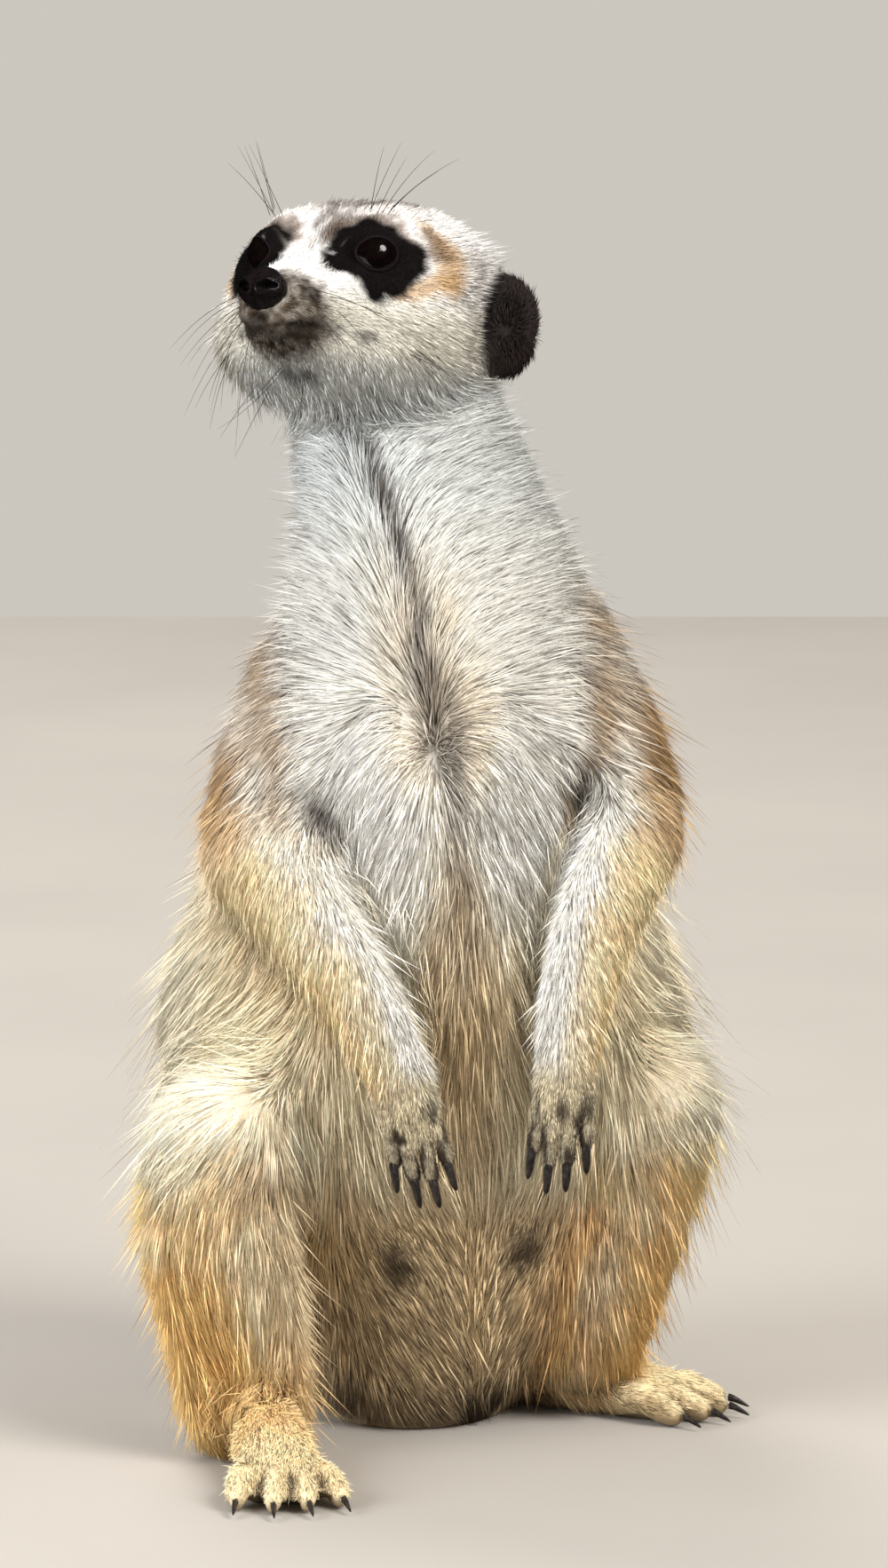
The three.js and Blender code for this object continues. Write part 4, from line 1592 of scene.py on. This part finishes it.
    def gather(self, root: Array, ring: Array, tip: Array, clump: Array, normal: Array) -> Pair:
        """Draws neighbouring hairs together towards their tips.

        Args:
            root: The roots.
            ring: The hairs' widest places.
            tip: The tips.
            clump: How far each tip goes to its lock's own, as a share.
            normal: The skin's normals at the roots.

        Returns:
            The new rings and tips.
        """
        cells = (root / self.clump_spacing + noise(root, 3, 7)[:, None] * 0.3).round().astype(int)
        leader = np.unique(cells, axis=0, return_index=True)[1]
        tree = KDTree(len(leader))
        for index, point in enumerate(root[leader].tolist()):
            tree.insert(point, index)
        tree.balance()
        nearest = leader[np.array([tree.find(point)[1] for point in root.tolist()])]
        same = dot(normal, normal[nearest]) > 0.5
        pull = (clump * same * np.clip(1 + 0.4 * self.random.normal(size=len(root)), 0, 1.6))[:, None]
        return ring + (ring[nearest] - ring) * pull * 0.35, tip + (tip[nearest] - tip) * pull

    def tint(self, places: Places, traits: Traits, draw: Array) -> tuple[Array, ...]:
        """Colours the hairs.

        Args:
            places: Where the hairs are seen.
            traits: How they grow.
            draw: A random number for each.

        Returns:
            The colours at the root, the ring and the tip.
        """
        colour = self.markings.at(places)
        colour *= (1 + 0.09 * draw + 0.06 * noise(places.points, 5, 13))[:, None]
        tick = self.random.random(len(colour)) < traits.tick
        dark = np.minimum(colour, self.tick_tint)
        colour = np.where(tick[:, None], dark + (colour - dark) * 0.3, colour)
        pale = np.clip(colour * 1.13, 0, 0.95)
        # the hairs darken at the partings, and as painted shade in the creases and armpits
        parted_and_shaded = self.markings.parted_and_shaded(places)[:, None]
        root = colour * self.root_tint * (1 - 0.85 * parted_and_shaded)
        return root, np.clip(colour * 0.96 * (1 - 0.6 * parted_and_shaded), 0, 0.93), pale * (1 - 0.15 * parted_and_shaded)

    def pieces(self, places: Places) -> Array:
        """The number of the piece of coat that each hair goes to."""
        order = list(Lock)
        part = places.parts.argmax(axis=1)
        piece = np.array([order.index(LOCK_OF_PART[kind]) for kind in Part])[part]
        piece[(part == Part.HEAD.value) & (places.head[:, 0] > 3)] = order.index(Lock.FACE)
        trunk = (part == Part.BELLY.value) | (part == Part.CHEST.value)
        behind = (trunk & (places.round_body() > 95)) | (part == Part.RUMP.value)
        low = places.points[:, 2] < self.loins_below
        piece[behind] = np.where(low, order.index(Lock.LOINS), order.index(Lock.BACK))[behind]
        return piece

    def build(self, material: Material) -> None:
        """Makes the coat's pieces."""
        strands = self.grow()
        for index, lock in enumerate(Lock):
            chosen = np.flatnonzero(strands.piece == index)
            if len(chosen) > self.most_in_piece:
                LOG.warning("%s: %d hairs, %d kept", lock.value, len(chosen), self.most_in_piece)
                chosen = np.sort(self.random.choice(chosen, self.most_in_piece, replace=False))
            self.make_piece(lock, strands, chosen, material)

    def make_piece(self, lock: Lock, strands: Strands, chosen: Array, material: Material) -> None:
        """Joins some of the hairs into one mesh.

        Args:
            lock: Which piece it is.
            strands: All hairs.
            chosen: The numbers of those to join.
            material: The coat's material.
        """
        strands = Strands(**{name: rows[chosen] for name, rows in vars(strands).items()})
        root, ring, tip, normal = strands.root, strands.ring, strands.tip, strands.normal
        width = strands.width[:, None]
        across = unit(np.cross(tip - root, normal))
        above = unit(np.cross(across, tip - root))
        chord = unit(tip - root)
        bulge = dot(ring - root, above)[:, None]
        along = dot(ring - root, chord)[:, None]
        rise = width * self.ring_rise
        ring = root + chord * along + above * np.clip(bulge, rise, rise + self.most_bulge)
        corners = np.stack([root, ring - across * width / 2, ring + across * width / 2, tip], axis=1)
        pattern = np.array([[0, 2, 1], [3, 1, 2], [0, 1, 3], [0, 3, 2]])
        faces = (np.arange(len(chosen))[:, None, None] * 4 + pattern).reshape(-1, 3)
        points = corners.reshape(-1, 3)
        points[:, 2] = np.maximum(points[:, 2], self.least_height)
        made = make_object(lock.value, points, faces)
        shades = [strands.root_colour, strands.ring_colour, strands.ring_colour, strands.tip_colour]
        paint(made, "coat", np.stack(shades, axis=1).reshape(-1, 3))
        self.lay_out(made, root, normal, faces)
        settle(made, material, [])

    @staticmethod
    def lay_out(made: bpy.types.Object, root: Array, normal: Array, faces: Array) -> None:
        """Gives each hair a small patch at its root's place, on six charts that face the six ways.

        Args:
            made: The piece.
            root: The hairs' roots.
            normal: The skin's normals there.
            faces: The piece's triangles.
        """
        axis = np.abs(normal).argmax(axis=1)
        facing = np.take_along_axis(normal, axis[:, None], 1)[:, 0] > 0
        low = root.min(axis=0)
        share = (root - low) / (np.ptp(root, axis=0).max() + 1e-6)
        others = np.array([[1, 2], [0, 2], [0, 1]])[axis]
        flat = np.take_along_axis(share, others, 1)
        place = (flat * 0.96 + 0.02 + np.column_stack([axis, facing.astype(int)])) / [3, 2]
        patch = np.array([[0, -1], [-1, 0], [1, 0], [0, 1]]) * 0.0015
        spots = (place[:, None, :] + patch).reshape(-1, 2)
        layer = made.data.uv_layers.new(name="OFBake")
        layer.data.foreach_set("uv", spots[faces.ravel()].astype(np.float32).ravel())


# ---- eyes, lid rims, nose, claws and whiskers
def grid_faces(rows: int, columns: int, closed_rows: bool = False) -> Array:
    """Faces between the points of a grid whose columns run round.

    Args:
        rows: How many rings it has.
        columns: Points in a ring.
        closed_rows: Whether the last ring is joined to the first.

    Returns:
        Two triangles for each gap.
    """
    last = rows if closed_rows else rows - 1
    row, column = (part.ravel() for part in np.meshgrid(np.arange(last), np.arange(columns), indexing="ij"))
    after, beside = (row + 1) % rows * columns, (column + 1) % columns
    row = row * columns
    corners = np.column_stack([row + column, row + beside, after + beside, after + column])
    return np.vstack([corners[:, [0, 1, 2]], corners[:, [0, 2, 3]]])


def fan(tip: int, start: int, sides: int) -> Array:
    """Triangles from a tip to each side of a ring, whose corners are numbered from a start."""
    column = np.arange(sides)
    return np.column_stack([np.full(sides, tip), start + column, start + (column + 1) % sides])


def ball(rows: int, columns: int) -> Shape:
    """A unit ball's points, pole to pole along x, and its triangles.

    Args:
        rows: Rings between the poles.
        columns: Points in a ring.

    Returns:
        Points and triangles that face out.
    """
    polar = np.pi * np.arange(1, rows + 1) / (rows + 1)
    turn = 2 * np.pi * np.arange(columns) / columns
    polar, turn = np.meshgrid(polar, turn, indexing="ij")
    points = np.stack([np.cos(polar), np.sin(polar) * np.cos(turn), np.sin(polar) * np.sin(turn)], axis=-1)
    points = np.vstack([points.reshape(-1, 3), [[1, 0, 0], [-1, 0, 0]]])
    count = rows * columns
    poles = fan(count, 0, columns), fan(count + 1, count - columns, columns)[:, [0, 2, 1]]
    return points, np.vstack([grid_faces(rows, columns), *poles])


def tube(path: Array, radii: Array, sides: int = 6) -> Shape:
    """A closed tube along a path, with its ends drawn to points.

    Args:
        path: The middle of each ring.
        radii: The radius at each ring.
        sides: Corners round it.

    Returns:
        Points and triangles that face out.
    """
    along = unit(np.gradient(path, axis=0))
    first = unit(np.cross(along, [0.31, 0.2, 0.93]))
    points = rings(path, first, np.cross(along, first), radii, sides)
    count = len(points)
    points = np.vstack([points, path[0] - along[0] * radii[0], path[-1] + along[-1] * radii[-1]])
    ends = fan(count, 0, sides)[:, [0, 2, 1]], fan(count + 1, count - sides, sides)
    return points, np.vstack([grid_faces(len(path), sides), *ends])


def rings(path: Array, first: Array, second: Array, radii: Array, sides: int) -> Array:
    """The points of the rings round a path.

    Args:
        path: The middle of each ring.
        first: A direction across the path at each, where its ring begins.
        second: The other direction across it.
        radii: The radius of each ring.
        sides: Points in a ring.

    Returns:
        The points, ring by ring.
    """
    turn = 2 * np.pi * np.arange(sides) / sides
    ring = np.cos(turn)[None, :, None] * first[:, None] + np.sin(turn)[None, :, None] * second[:, None]
    return (path[:, None] + ring * radii[:, None, None]).reshape(-1, 3)


def joined(shapes: list[Shape]) -> Shape:
    """Puts several shapes' points and triangles together."""
    starts = np.cumsum([0, *[len(points) for points, _ in shapes[:-1]]])
    faces = np.vstack([rows + start for (_, rows), start in zip(shapes, starts)])
    return np.vstack([points for points, _ in shapes]), faces


@dataclass
class Eyes:
    """Two dark, wet eyeballs, with a thin moist rim where the lids touch them."""

    head: HeadFrame
    sockets: list[EyeSocket]
    cornea: float = 0.22
    rim: float = 0.22
    rim_rings: int = 120
    rim_sides: int = 10

    def build(self, glass: Material, wet: Material) -> None:
        """Makes the eyeballs and the rims."""
        for name, socket in zip(SIDES, self.sockets):
            points, faces = ball(60, 96)
            bulge = self.cornea * np.exp(-((1 - points[:, 0]) / 0.16) ** 2)
            axes = np.array([socket.gaze, -socket.inner * socket.side, socket.above])
            local = socket.centre + (points * (socket.radius + bulge)[:, None]) @ axes
            made = make_object(f"eyeball_{name}", self.head.world(local), faces)
            settle(made, glass, [f"eye_{name}"])
        made = make_object("lid_rims", *joined([self.rim_of(socket) for socket in self.sockets]))
        settle(made, wet, [])

    def rim_of(self, socket: EyeSocket) -> Shape:
        """The moist edge of both lids of one eye."""
        turn = 2 * np.pi * np.arange(self.rim_rings) / self.rim_rings
        polar = np.radians(socket.edge(turn) - 0.5)[:, None]
        aside = np.cos(turn)[:, None] * socket.inner + np.sin(turn)[:, None] * socket.above
        way = np.cos(polar) * socket.gaze + np.sin(polar) * aside
        path = socket.centre + way * (socket.radius + 0.12)
        along = unit(np.roll(path, -1, axis=0) - np.roll(path, 1, axis=0))
        radii = self.rim * (1 + 0.35 * np.clip(np.cos(turn), 0, 1) ** 4)
        points = rings(path, way, np.cross(along, way), radii, self.rim_sides)
        return self.head.world(points), grid_faces(self.rim_rings, self.rim_sides, closed_rows=True)


@dataclass
class NosePad:
    """The bare nose: a rounded pad with two comma-shaped nostrils and a groove down its middle."""

    head: HeadFrame
    nostril: tuple = ((0.31, -0.02, 0.15), (0.50, 0.12, 0.16), (0.78, 0.10, 0.07))
    nostril_depth: float = 2.6
    wing_height: float = 0.3
    groove_depth: float = 0.55

    def build(self, material: Material) -> None:
        """Makes the pad."""
        points, faces = ball(110, 160)
        shape = np.sign(points) * np.abs(points) ** np.array([0.92, 0.9, 0.95])
        local = unit(shape) * NOSE_RADII
        y, z = points[:, 1], points[:, 2]
        ahead = step(0.1, 0.5, points[:, 0])
        away = np.abs(y)
        hole = chain(np.column_stack([away, z]), self.nostril)
        local[:, 0] -= self.nostril_depth * step(0.07, -0.10, hole) * ahead
        local[:, 0] += self.wing_height * step(0.34, 0.12, hole) * step(0.0, 0.1, hole) * ahead
        local[:, 0] -= self.groove_depth * step(0.11, 0.0, away) * step(0.2, -0.25, z) * ahead
        local[:, 0] -= 0.5 * step(0.35, 0.9, z) * ahead
        local[:, 1] *= 1 - 0.22 * step(-0.2, -0.95, z)
        made = make_object("nose_pad", self.head.world(local + self.head.local(self.head.nose)), faces)
        settle(made, material, ["nose"])


@dataclass
class Claws:
    """The claws of each foot: the toes' are rounded solids, the fingers' slim and set deep in them."""

    rounds: int = 2
    slim_rings: int = 16
    slim_sides: int = 10
    sunk: float = 5.0
    arch: float = 0.7
    profile: tuple = ((0, 0.8), (0.3, 1.05), (0.7, 0.9), (0.9, 0.62), (0.97, 0.36), (1, 0.05))

    def build(self, material: Material) -> None:
        """Makes one piece for each foot."""
        for limb in ("forepaw", "hindfoot"):
            for side in SIDES:
                names = [f"{limb}_{side}_claw_{digit}" for digit in DIGITS]
                shapes = [self.rounded(name) for name in names]
                if limb == "forepaw":
                    palm = HeadFrame.middle(f"{limb}_{side}")
                    shapes = [self.slim(points, palm) for points, _ in shapes]
                made = make_object(f"claws_{limb}_{side}", *joined(shapes))
                settle(made, material, names)

    def slim(self, points: Array, palm: Array) -> Shape:
        """Makes a long slim claw from inside the finger to the tip of the solid one.

        Args:
            points: The solid claw's points.
            palm: The middle of the palm.

        Returns:
            Points and triangles.
        """
        base, tip = claw_ends(points, palm)
        start = base - unit(tip - base) * self.sunk
        share = np.linspace(0, 1, self.slim_rings)[:, None]
        path = start + (tip - start) * share + np.array([0.0, -self.arch, 0.0]) * np.sin(share * math.pi)
        return tube(path, np.interp(share[:, 0], *zip(*self.profile)), self.slim_sides)

    def rounded(self, name: str) -> Shape:
        """One claw with its facets smoothed."""
        solid = solid_of(name)
        mesh = bpy.data.meshes.new("claw")
        solid.to_mesh(mesh)
        solid.free()
        made = bpy.data.objects.new("claw", mesh)
        bpy.context.scene.collection.objects.link(made)
        finer = made.modifiers.new("finer", "SUBSURF")
        finer.levels = finer.render_levels = self.rounds
        return arrays_of(evaluated(made))


@dataclass
class Whiskers:
    """Long thin hairs of the muzzle, the brows, the cheeks and the throat."""

    head: HeadFrame
    thickness: float = 0.075
    rings: int = 14

    def build(self, material: Material) -> None:
        """Makes all whiskers as one piece."""
        shapes = []
        random = np.random.default_rng(SEED + 4)
        for side in SIDES.values():
            for root, way, length, droop, number in self.rows():
                for _ in range(number):
                    start = (np.array(root) + random.normal(size=3) * 0.7) * [1, side, 1]
                    heading = unit((np.array(way) + random.normal(size=3) * 0.13) * [1, side, 1])
                    shapes.append(self.whisker(start, heading, length * random.uniform(0.75, 1.12), droop))
        made = make_object("whiskers", *joined(shapes))
        settle(made, material, [])

    @staticmethod
    def rows() -> list[tuple]:
        """Root, direction, length, droop and number of each group on the left side, in the head's frame."""
        groups = []
        for row in range(3):
            for column in range(3):
                root = (34.5 - 3.2 * column, 6.4 + 1.6 * column, -6.2 - 2.2 * row)
                way = (0.1 - 0.25 * column, 0.9, -0.15 - 0.35 * row)
                groups.append((root, way, 19 + 4.5 * column, 0.35, 1))
        groups.append(((15, 12.0, 14.6), (0.15, 0.25, 0.95), 19, 0.12, 3))
        groups.append(((13, 14.0, 14.2), (-0.1, 0.5, 0.8), 20, 0.2, 3))
        groups.append(((13, 23.5, -16), (-0.42, 0.72, -0.42), 17, 0.3, 4))
        groups.append(((24, 3, -21.5), (0.35, 0.35, -0.85), 20, -0.2, 2))
        groups.append(((14, 12, -22), (0.15, 0.5, -0.85), 18, 0.1, 2))
        return groups

    def whisker(self, start: Array, heading: Array, length: float, droop: float) -> Shape:
        """One whisker.

        Args:
            start: Its root, in the head's frame.
            heading: The way it sets off.
            length: From root to tip.
            droop: How far it bends back and down by its tip, as a share of its length.

        Returns:
            Points and triangles.
        """
        share = np.linspace(0, 1, self.rings)[:, None]
        path = start + heading * share * length + np.array([-0.5, 0, -0.8]) * share**2 * droop * length
        radii = self.thickness * (1 - share[:, 0]) ** 0.7 + 0.012
        return tube(self.head.world(path), radii)


# ---- finishes
@dataclass
class NodeSheet:
    """A material's node tree, with short ways to add to it."""

    name: str

    def __post_init__(self) -> None:
        """Starts an empty material with one surface shader."""
        self.material = bpy.data.materials.new(self.name)
        self.material.use_nodes = True
        self.tree = self.material.node_tree
        self.tree.nodes.clear()
        self.shader = self.add("ShaderNodeBsdfPrincipled")
        output = self.add("ShaderNodeOutputMaterial")
        self.join(self.shader.outputs[0], output.inputs["Surface"])

    def add(self, kind: str, **values: object) -> bpy.types.Node:
        """Adds a node and sets its properties."""
        node = self.tree.nodes.new(kind)
        for key, value in values.items():
            setattr(node, key, value)
        return node

    def join(self, source: Socket, target: Socket) -> None:
        """Links two sockets."""
        self.tree.links.new(source, target)

    def set(self, **values: object) -> None:
        """Sets the shader's own sockets, named with _ for spaces."""
        for key, value in values.items():
            self.shader.inputs[key.replace("_", " ")].default_value = value

    def texture(self, kind: str, scale: float, **sockets: float) -> bpy.types.Node:
        """Adds a texture laid on the object's own coordinates."""
        place = self.add("ShaderNodeTexCoord")
        made = self.add(kind)
        self.join(place.outputs["Object"], made.inputs["Vector"])
        made.inputs["Scale"].default_value = scale
        for key, value in sockets.items():
            made.inputs[key].default_value = value
        return made

    def grain(self, scale: float, **sockets: float) -> Socket:
        """The strength of a noise."""
        return self.texture("ShaderNodeTexNoise", scale, **sockets).outputs["Fac"]

    def dye(self, colour: Socket) -> None:
        """Gives the surface its colour."""
        self.join(colour, self.shader.inputs["Base Color"])

    def attribute(self, name: str) -> Socket:
        """A painted colour of the mesh."""
        return self.add("ShaderNodeAttribute", attribute_name=name).outputs["Color"]

    def shaded(self, colour: Socket, factor: Socket, low: float, high: float) -> Socket:
        """A colour darkened or lightened by a texture.

        Args:
            colour: The colour.
            factor: The texture, 0 to 1.
            low: What the colour is multiplied by at 0.
            high: What it is multiplied by at 1.

        Returns:
            The new colour.
        """
        spread = self.add("ShaderNodeMapRange")
        self.join(factor, spread.inputs["Value"])
        spread.inputs["To Min"].default_value = low
        spread.inputs["To Max"].default_value = high
        product = self.add("ShaderNodeVectorMath", operation="SCALE")
        self.join(colour, product.inputs[0])
        self.join(spread.outputs["Result"], product.inputs["Scale"])
        return product.outputs["Vector"]

    def ramp(self, factor: Socket, *stops: tuple) -> Socket:
        """Turns a number into a colour by stops of a place and a colour."""
        node = self.add("ShaderNodeValToRGB")
        self.join(factor, node.inputs["Fac"])
        elements = node.color_ramp.elements
        for index, (place, colour) in enumerate(stops):
            element = elements[index] if index < 2 else elements.new(place)
            element.position = place
            element.color = (*colour, 1)
        return node.outputs["Color"]

    def bump(self, height: Socket, distance: float) -> None:
        """Roughens the surface by a texture; distance in millimetres."""
        node = self.add("ShaderNodeBump")
        node.inputs["Strength"].default_value = 1.0
        node.inputs["Distance"].default_value = distance * MM
        self.join(height, node.inputs["Height"])
        self.join(node.outputs["Normal"], self.shader.inputs["Normal"])


@dataclass(frozen=True)
class PaintedFinish:
    """The painted markings with a fine streak of light and dark, and in relief where it has a height."""

    name: str
    scale: float
    detail: float
    coarseness: float
    shades: tuple
    roughness: float
    sheen: float = 0.0
    sheen_roughness: float = 0.5
    relief: float = 0.0

    def material(self) -> Material:
        """Makes the material."""
        sheet = NodeSheet(self.name)
        sheet.set(Roughness=self.roughness, Specular_IOR_Level=0.1)
        sheet.set(Sheen_Weight=self.sheen, Sheen_Roughness=self.sheen_roughness)
        grain = sheet.grain(self.scale, Detail=self.detail, Roughness=self.coarseness)
        sheet.dye(sheet.shaded(sheet.attribute("coat"), grain, *self.shades))
        if self.relief:
            sheet.bump(grain, self.relief)
        return sheet.material


@dataclass(frozen=True)
class CoatFinish(PaintedFinish):
    """Soft hair: the painted markings with a faint sheen."""

    name: str = "coat_hair"
    scale: float = 900.0
    detail: float = 3.0
    coarseness: float = 0.5
    shades: tuple = (0.86, 1.14)
    roughness: float = 0.66
    sheen: float = 0.01
    sheen_roughness: float = 0.4


@dataclass(frozen=True)
class SkinFinish(PaintedFinish):
    """The skin under the hair and the short flat fur on it."""

    name: str = "skin_and_short_fur"
    scale: float = 1500.0
    detail: float = 4.0
    coarseness: float = 0.7
    shades: tuple = (0.6, 1.3)
    roughness: float = 0.78
    relief: float = 0.25


@dataclass(frozen=True)
class GrainFinish:
    """A colour that goes from dark to pale with a grain, in relief where it has a height, wet or dry."""

    name: str
    dark: tuple
    pale: tuple
    edges: tuple
    scale: float
    detail: float
    roughness: float
    specular: float
    distortion: float = 0.0
    relief: float = 0.0
    wet: float = 0.0
    wet_roughness: float = 0.03

    def material(self) -> Material:
        """Makes the material."""
        sheet = NodeSheet(self.name)
        sheet.set(Roughness=self.roughness, Specular_IOR_Level=self.specular)
        sheet.set(Coat_Weight=self.wet, Coat_Roughness=self.wet_roughness)
        grain = sheet.grain(self.scale, Detail=self.detail, Distortion=self.distortion)
        self.work(sheet, sheet.ramp(grain, *zip(self.edges, (self.dark, self.pale))), grain)
        return sheet.material

    def work(self, sheet: NodeSheet, colour: Socket, grain: Socket) -> None:
        """Lays on the colour and the relief.

        Args:
            sheet: The material's nodes.
            colour: The colour between dark and pale.
            grain: The grain that it follows.
        """
        sheet.dye(colour)
        if self.relief:
            sheet.bump(grain, self.relief)


@dataclass(frozen=True)
class EyeFinish(GrainFinish):
    """Deep brown, almost black, under a clear wet layer."""

    name: str = "eye_dark_glass"
    dark: tuple = (0.0015, 0.001, 0.001)
    pale: tuple = (0.004, 0.002, 0.0015)
    edges: tuple = (0.35, 0.7)
    scale: float = 700.0
    detail: float = 4.0
    roughness: float = 0.35
    specular: float = 0.02
    wet: float = 0.7
    wet_roughness: float = 0.02


@dataclass(frozen=True)
class WetRimFinish(GrainFinish):
    """The dark moist edge of the lids."""

    name: str = "lid_rim_moist"
    dark: tuple = (0.006, 0.004, 0.005)
    pale: tuple = (0.0132, 0.0088, 0.011)
    edges: tuple = (0.3, 0.75)
    scale: float = 2500.0
    detail: float = 2.0
    roughness: float = 0.7
    specular: float = 0.05
    relief: float = 0.05


@dataclass(frozen=True)
class NoseFinish(GrainFinish):
    """Black pebbled bare skin, a little moist."""

    name: str = "nose_bare_skin"
    dark: tuple = (0.004, 0.003, 0.003)
    pale: tuple = (0.009, 0.006, 0.006)
    edges: tuple = (0.35, 0.72)
    scale: float = 420.0
    detail: float = 3.0
    roughness: float = 0.38
    specular: float = 0.22
    relief: float = 0.12
    wet: float = 0.06
    wet_roughness: float = 0.2
    pebbles: float = 2100.0

    def work(self, sheet: NodeSheet, colour: Socket, grain: Socket) -> None:
        """Covers the nose with raised pebbles, paler in their middles."""
        cells = sheet.texture("ShaderNodeTexVoronoi", self.pebbles).outputs["Distance"]
        sheet.dye(sheet.shaded(colour, cells, 1.3, 0.5))
        flipped = sheet.add("ShaderNodeMath", operation="SUBTRACT")
        flipped.inputs[0].default_value = 1.0
        sheet.join(cells, flipped.inputs[1])
        sheet.bump(flipped.outputs[0], self.relief)


@dataclass(frozen=True)
class HornFinish(GrainFinish):
    """Near black horn, paler and worn in a streaked grain."""

    name: str = "claw_horn"
    dark: tuple = (0.012, 0.010, 0.010)
    pale: tuple = (0.060, 0.050, 0.044)
    edges: tuple = (0.4, 0.8)
    scale: float = 900.0
    detail: float = 5.0
    roughness: float = 0.3
    specular: float = 0.5
    distortion: float = 1.5
    relief: float = 0.06
    wet: float = 0.2
    wet_roughness: float = 0.2


@dataclass(frozen=True)
class WhiskerFinish(GrainFinish):
    """Stiff dark hairs with a slight gloss."""

    name: str = "whisker_hair"
    dark: tuple = (0.010, 0.008, 0.007)
    pale: tuple = (0.05, 0.04, 0.035)
    edges: tuple = (0.4, 0.7)
    scale: float = 300.0
    detail: float = 2.0
    roughness: float = 0.4
    specular: float = 0.5


@dataclass(frozen=True)
class FloorFinish(GrainFinish):
    """A plain pale matt floor."""

    name: str = "floor_plain"
    dark: tuple = (0.372, 0.34875, 0.32085)
    pale: tuple = (0.40, 0.375, 0.345)
    edges: tuple = (0.3, 0.7)
    scale: float = 6.0
    detail: float = 3.0
    roughness: float = 0.85
    specular: float = 0.2


# ---- floor, light and camera
@dataclass(frozen=True)
class Lamp:
    """A round soft lamp: where it stands and its width in metres, its power in watts and its colour."""

    name: str
    place: tuple
    width: float
    power: float
    colour: tuple
    mirrored: bool = False

    def hang(self, aim: Vector) -> None:
        """Sets the lamp up, turned to a place; only a mirrored one shows in what shines."""
        lamp = bpy.data.lights.new(self.name, "AREA")
        lamp.shape = "DISK"
        lamp.size, lamp.energy, lamp.color = self.width, self.power, self.colour
        made = bpy.data.objects.new(self.name, lamp)
        made.location = self.place
        made.visible_glossy = self.mirrored
        made.rotation_euler = (aim - Vector(self.place)).to_track_quat("-Z", "Y").to_euler()
        bpy.context.scene.collection.objects.link(made)


LAMPS = (
    Lamp("key", (1.1, -1.15, 1.4), 1.1, 51, (1.0, 0.965, 0.92), mirrored=True),
    Lamp("fill", (-1.4, -1.1, 0.8), 1.3, 45, (0.96, 0.97, 1.0)),
    Lamp("rim", (-0.5, 1.3, 1.5), 1.0, 26, (1.0, 0.975, 0.94)),
)


@dataclass
class Studio:
    """A pale floor, soft light and the camera."""

    floor_size: float = 3.0
    surround: tuple = (0.60, 0.57, 0.52, 1)
    aim: tuple = (0.002, 0.0, 0.1436)
    distance: float = 1.9
    elevation: float = 8.0
    lens: float = 196.55

    def build(self) -> None:
        """Lays the floor, sets the lights and places the camera."""
        self.floor()
        self.lights()
        self.camera()

    def floor(self) -> None:
        """A plain square floor."""
        half = self.floor_size / 2 / MM
        corners = np.array([[-half, -half, 0], [half, -half, 0], [half, half, 0], [-half, half, 0]])
        made = make_object("floor", corners, np.array([[0, 1, 2, 3]]), smooth=False)
        made.data.materials.append(FloorFinish().material())
        made.visible_glossy = False

    def lights(self) -> None:
        """A large key from above, a fill, a rim and an even surround."""
        world = bpy.data.worlds.new("surround")
        world.use_nodes = True
        back = world.node_tree.nodes["Background"]
        back.inputs["Color"].default_value = self.surround
        back.inputs["Strength"].default_value = 1.0
        world.cycles_visibility.glossy = False
        bpy.context.scene.world = world
        for lamp in LAMPS:
            lamp.hang(Vector(self.aim))

    def camera(self) -> None:
        """The camera, a little above the animal and far off."""
        lens = bpy.data.cameras.new("camera")
        lens.sensor_width = 36.0
        lens.lens = self.lens
        lens.clip_start, lens.clip_end = 0.05, 50
        made = bpy.data.objects.new("camera", lens)
        rise = math.radians(self.elevation)
        away = Vector((0, -math.cos(rise), math.sin(rise))) * self.distance
        made.location = Vector(self.aim) + away
        made.rotation_euler = (-away).to_track_quat("-Z", "Y").to_euler()
        bpy.context.scene.collection.objects.link(made)
        bpy.context.scene.camera = made
        bpy.context.scene.view_settings.view_transform = "Standard"


def main() -> None:
    """Builds the meerkat, its coat and the studio."""
    logging.basicConfig(level=logging.INFO, format="%(name)s: %(message)s")
    Studio().build()
    head = HeadFrame()
    flesh = Flesh()
    skin = Skin(head, flesh)
    surface = skin.build()
    nodes = flesh.nodes_at(surface.points)
    parts = np.clip(surface.spread(flesh.parts_at(surface.points, nodes), 14), 0, 1)
    places = Places(surface.points, surface.normals(), parts, head.local(surface.points))
    markings = Markings(flesh)
    lie = LieOfCoat(head, flesh).over(surface, nodes, places)
    under = make_object("skin", surface.points, surface.faces)
    # the skin darkens at the partings, and as painted shade in the creases and armpits
    bare_tint = skin.tint(markings.at(places), places) * (1 - 0.85 * markings.parted_and_shaded(places))[:, None]
    paint(under, "coat", bare_tint)
    settle(under, SkinFinish().material(), sorted(PART_OF_NODE))
    Coat(head, skin, surface, places, lie, markings).build(CoatFinish().material())
    Eyes(head, skin.sockets).build(EyeFinish().material(), WetRimFinish().material())
    NosePad(head).build(NoseFinish().material())
    Claws().build(HornFinish().material())
    Whiskers(head).build(WhiskerFinish().material())


if __name__ == "__main__":
    main()
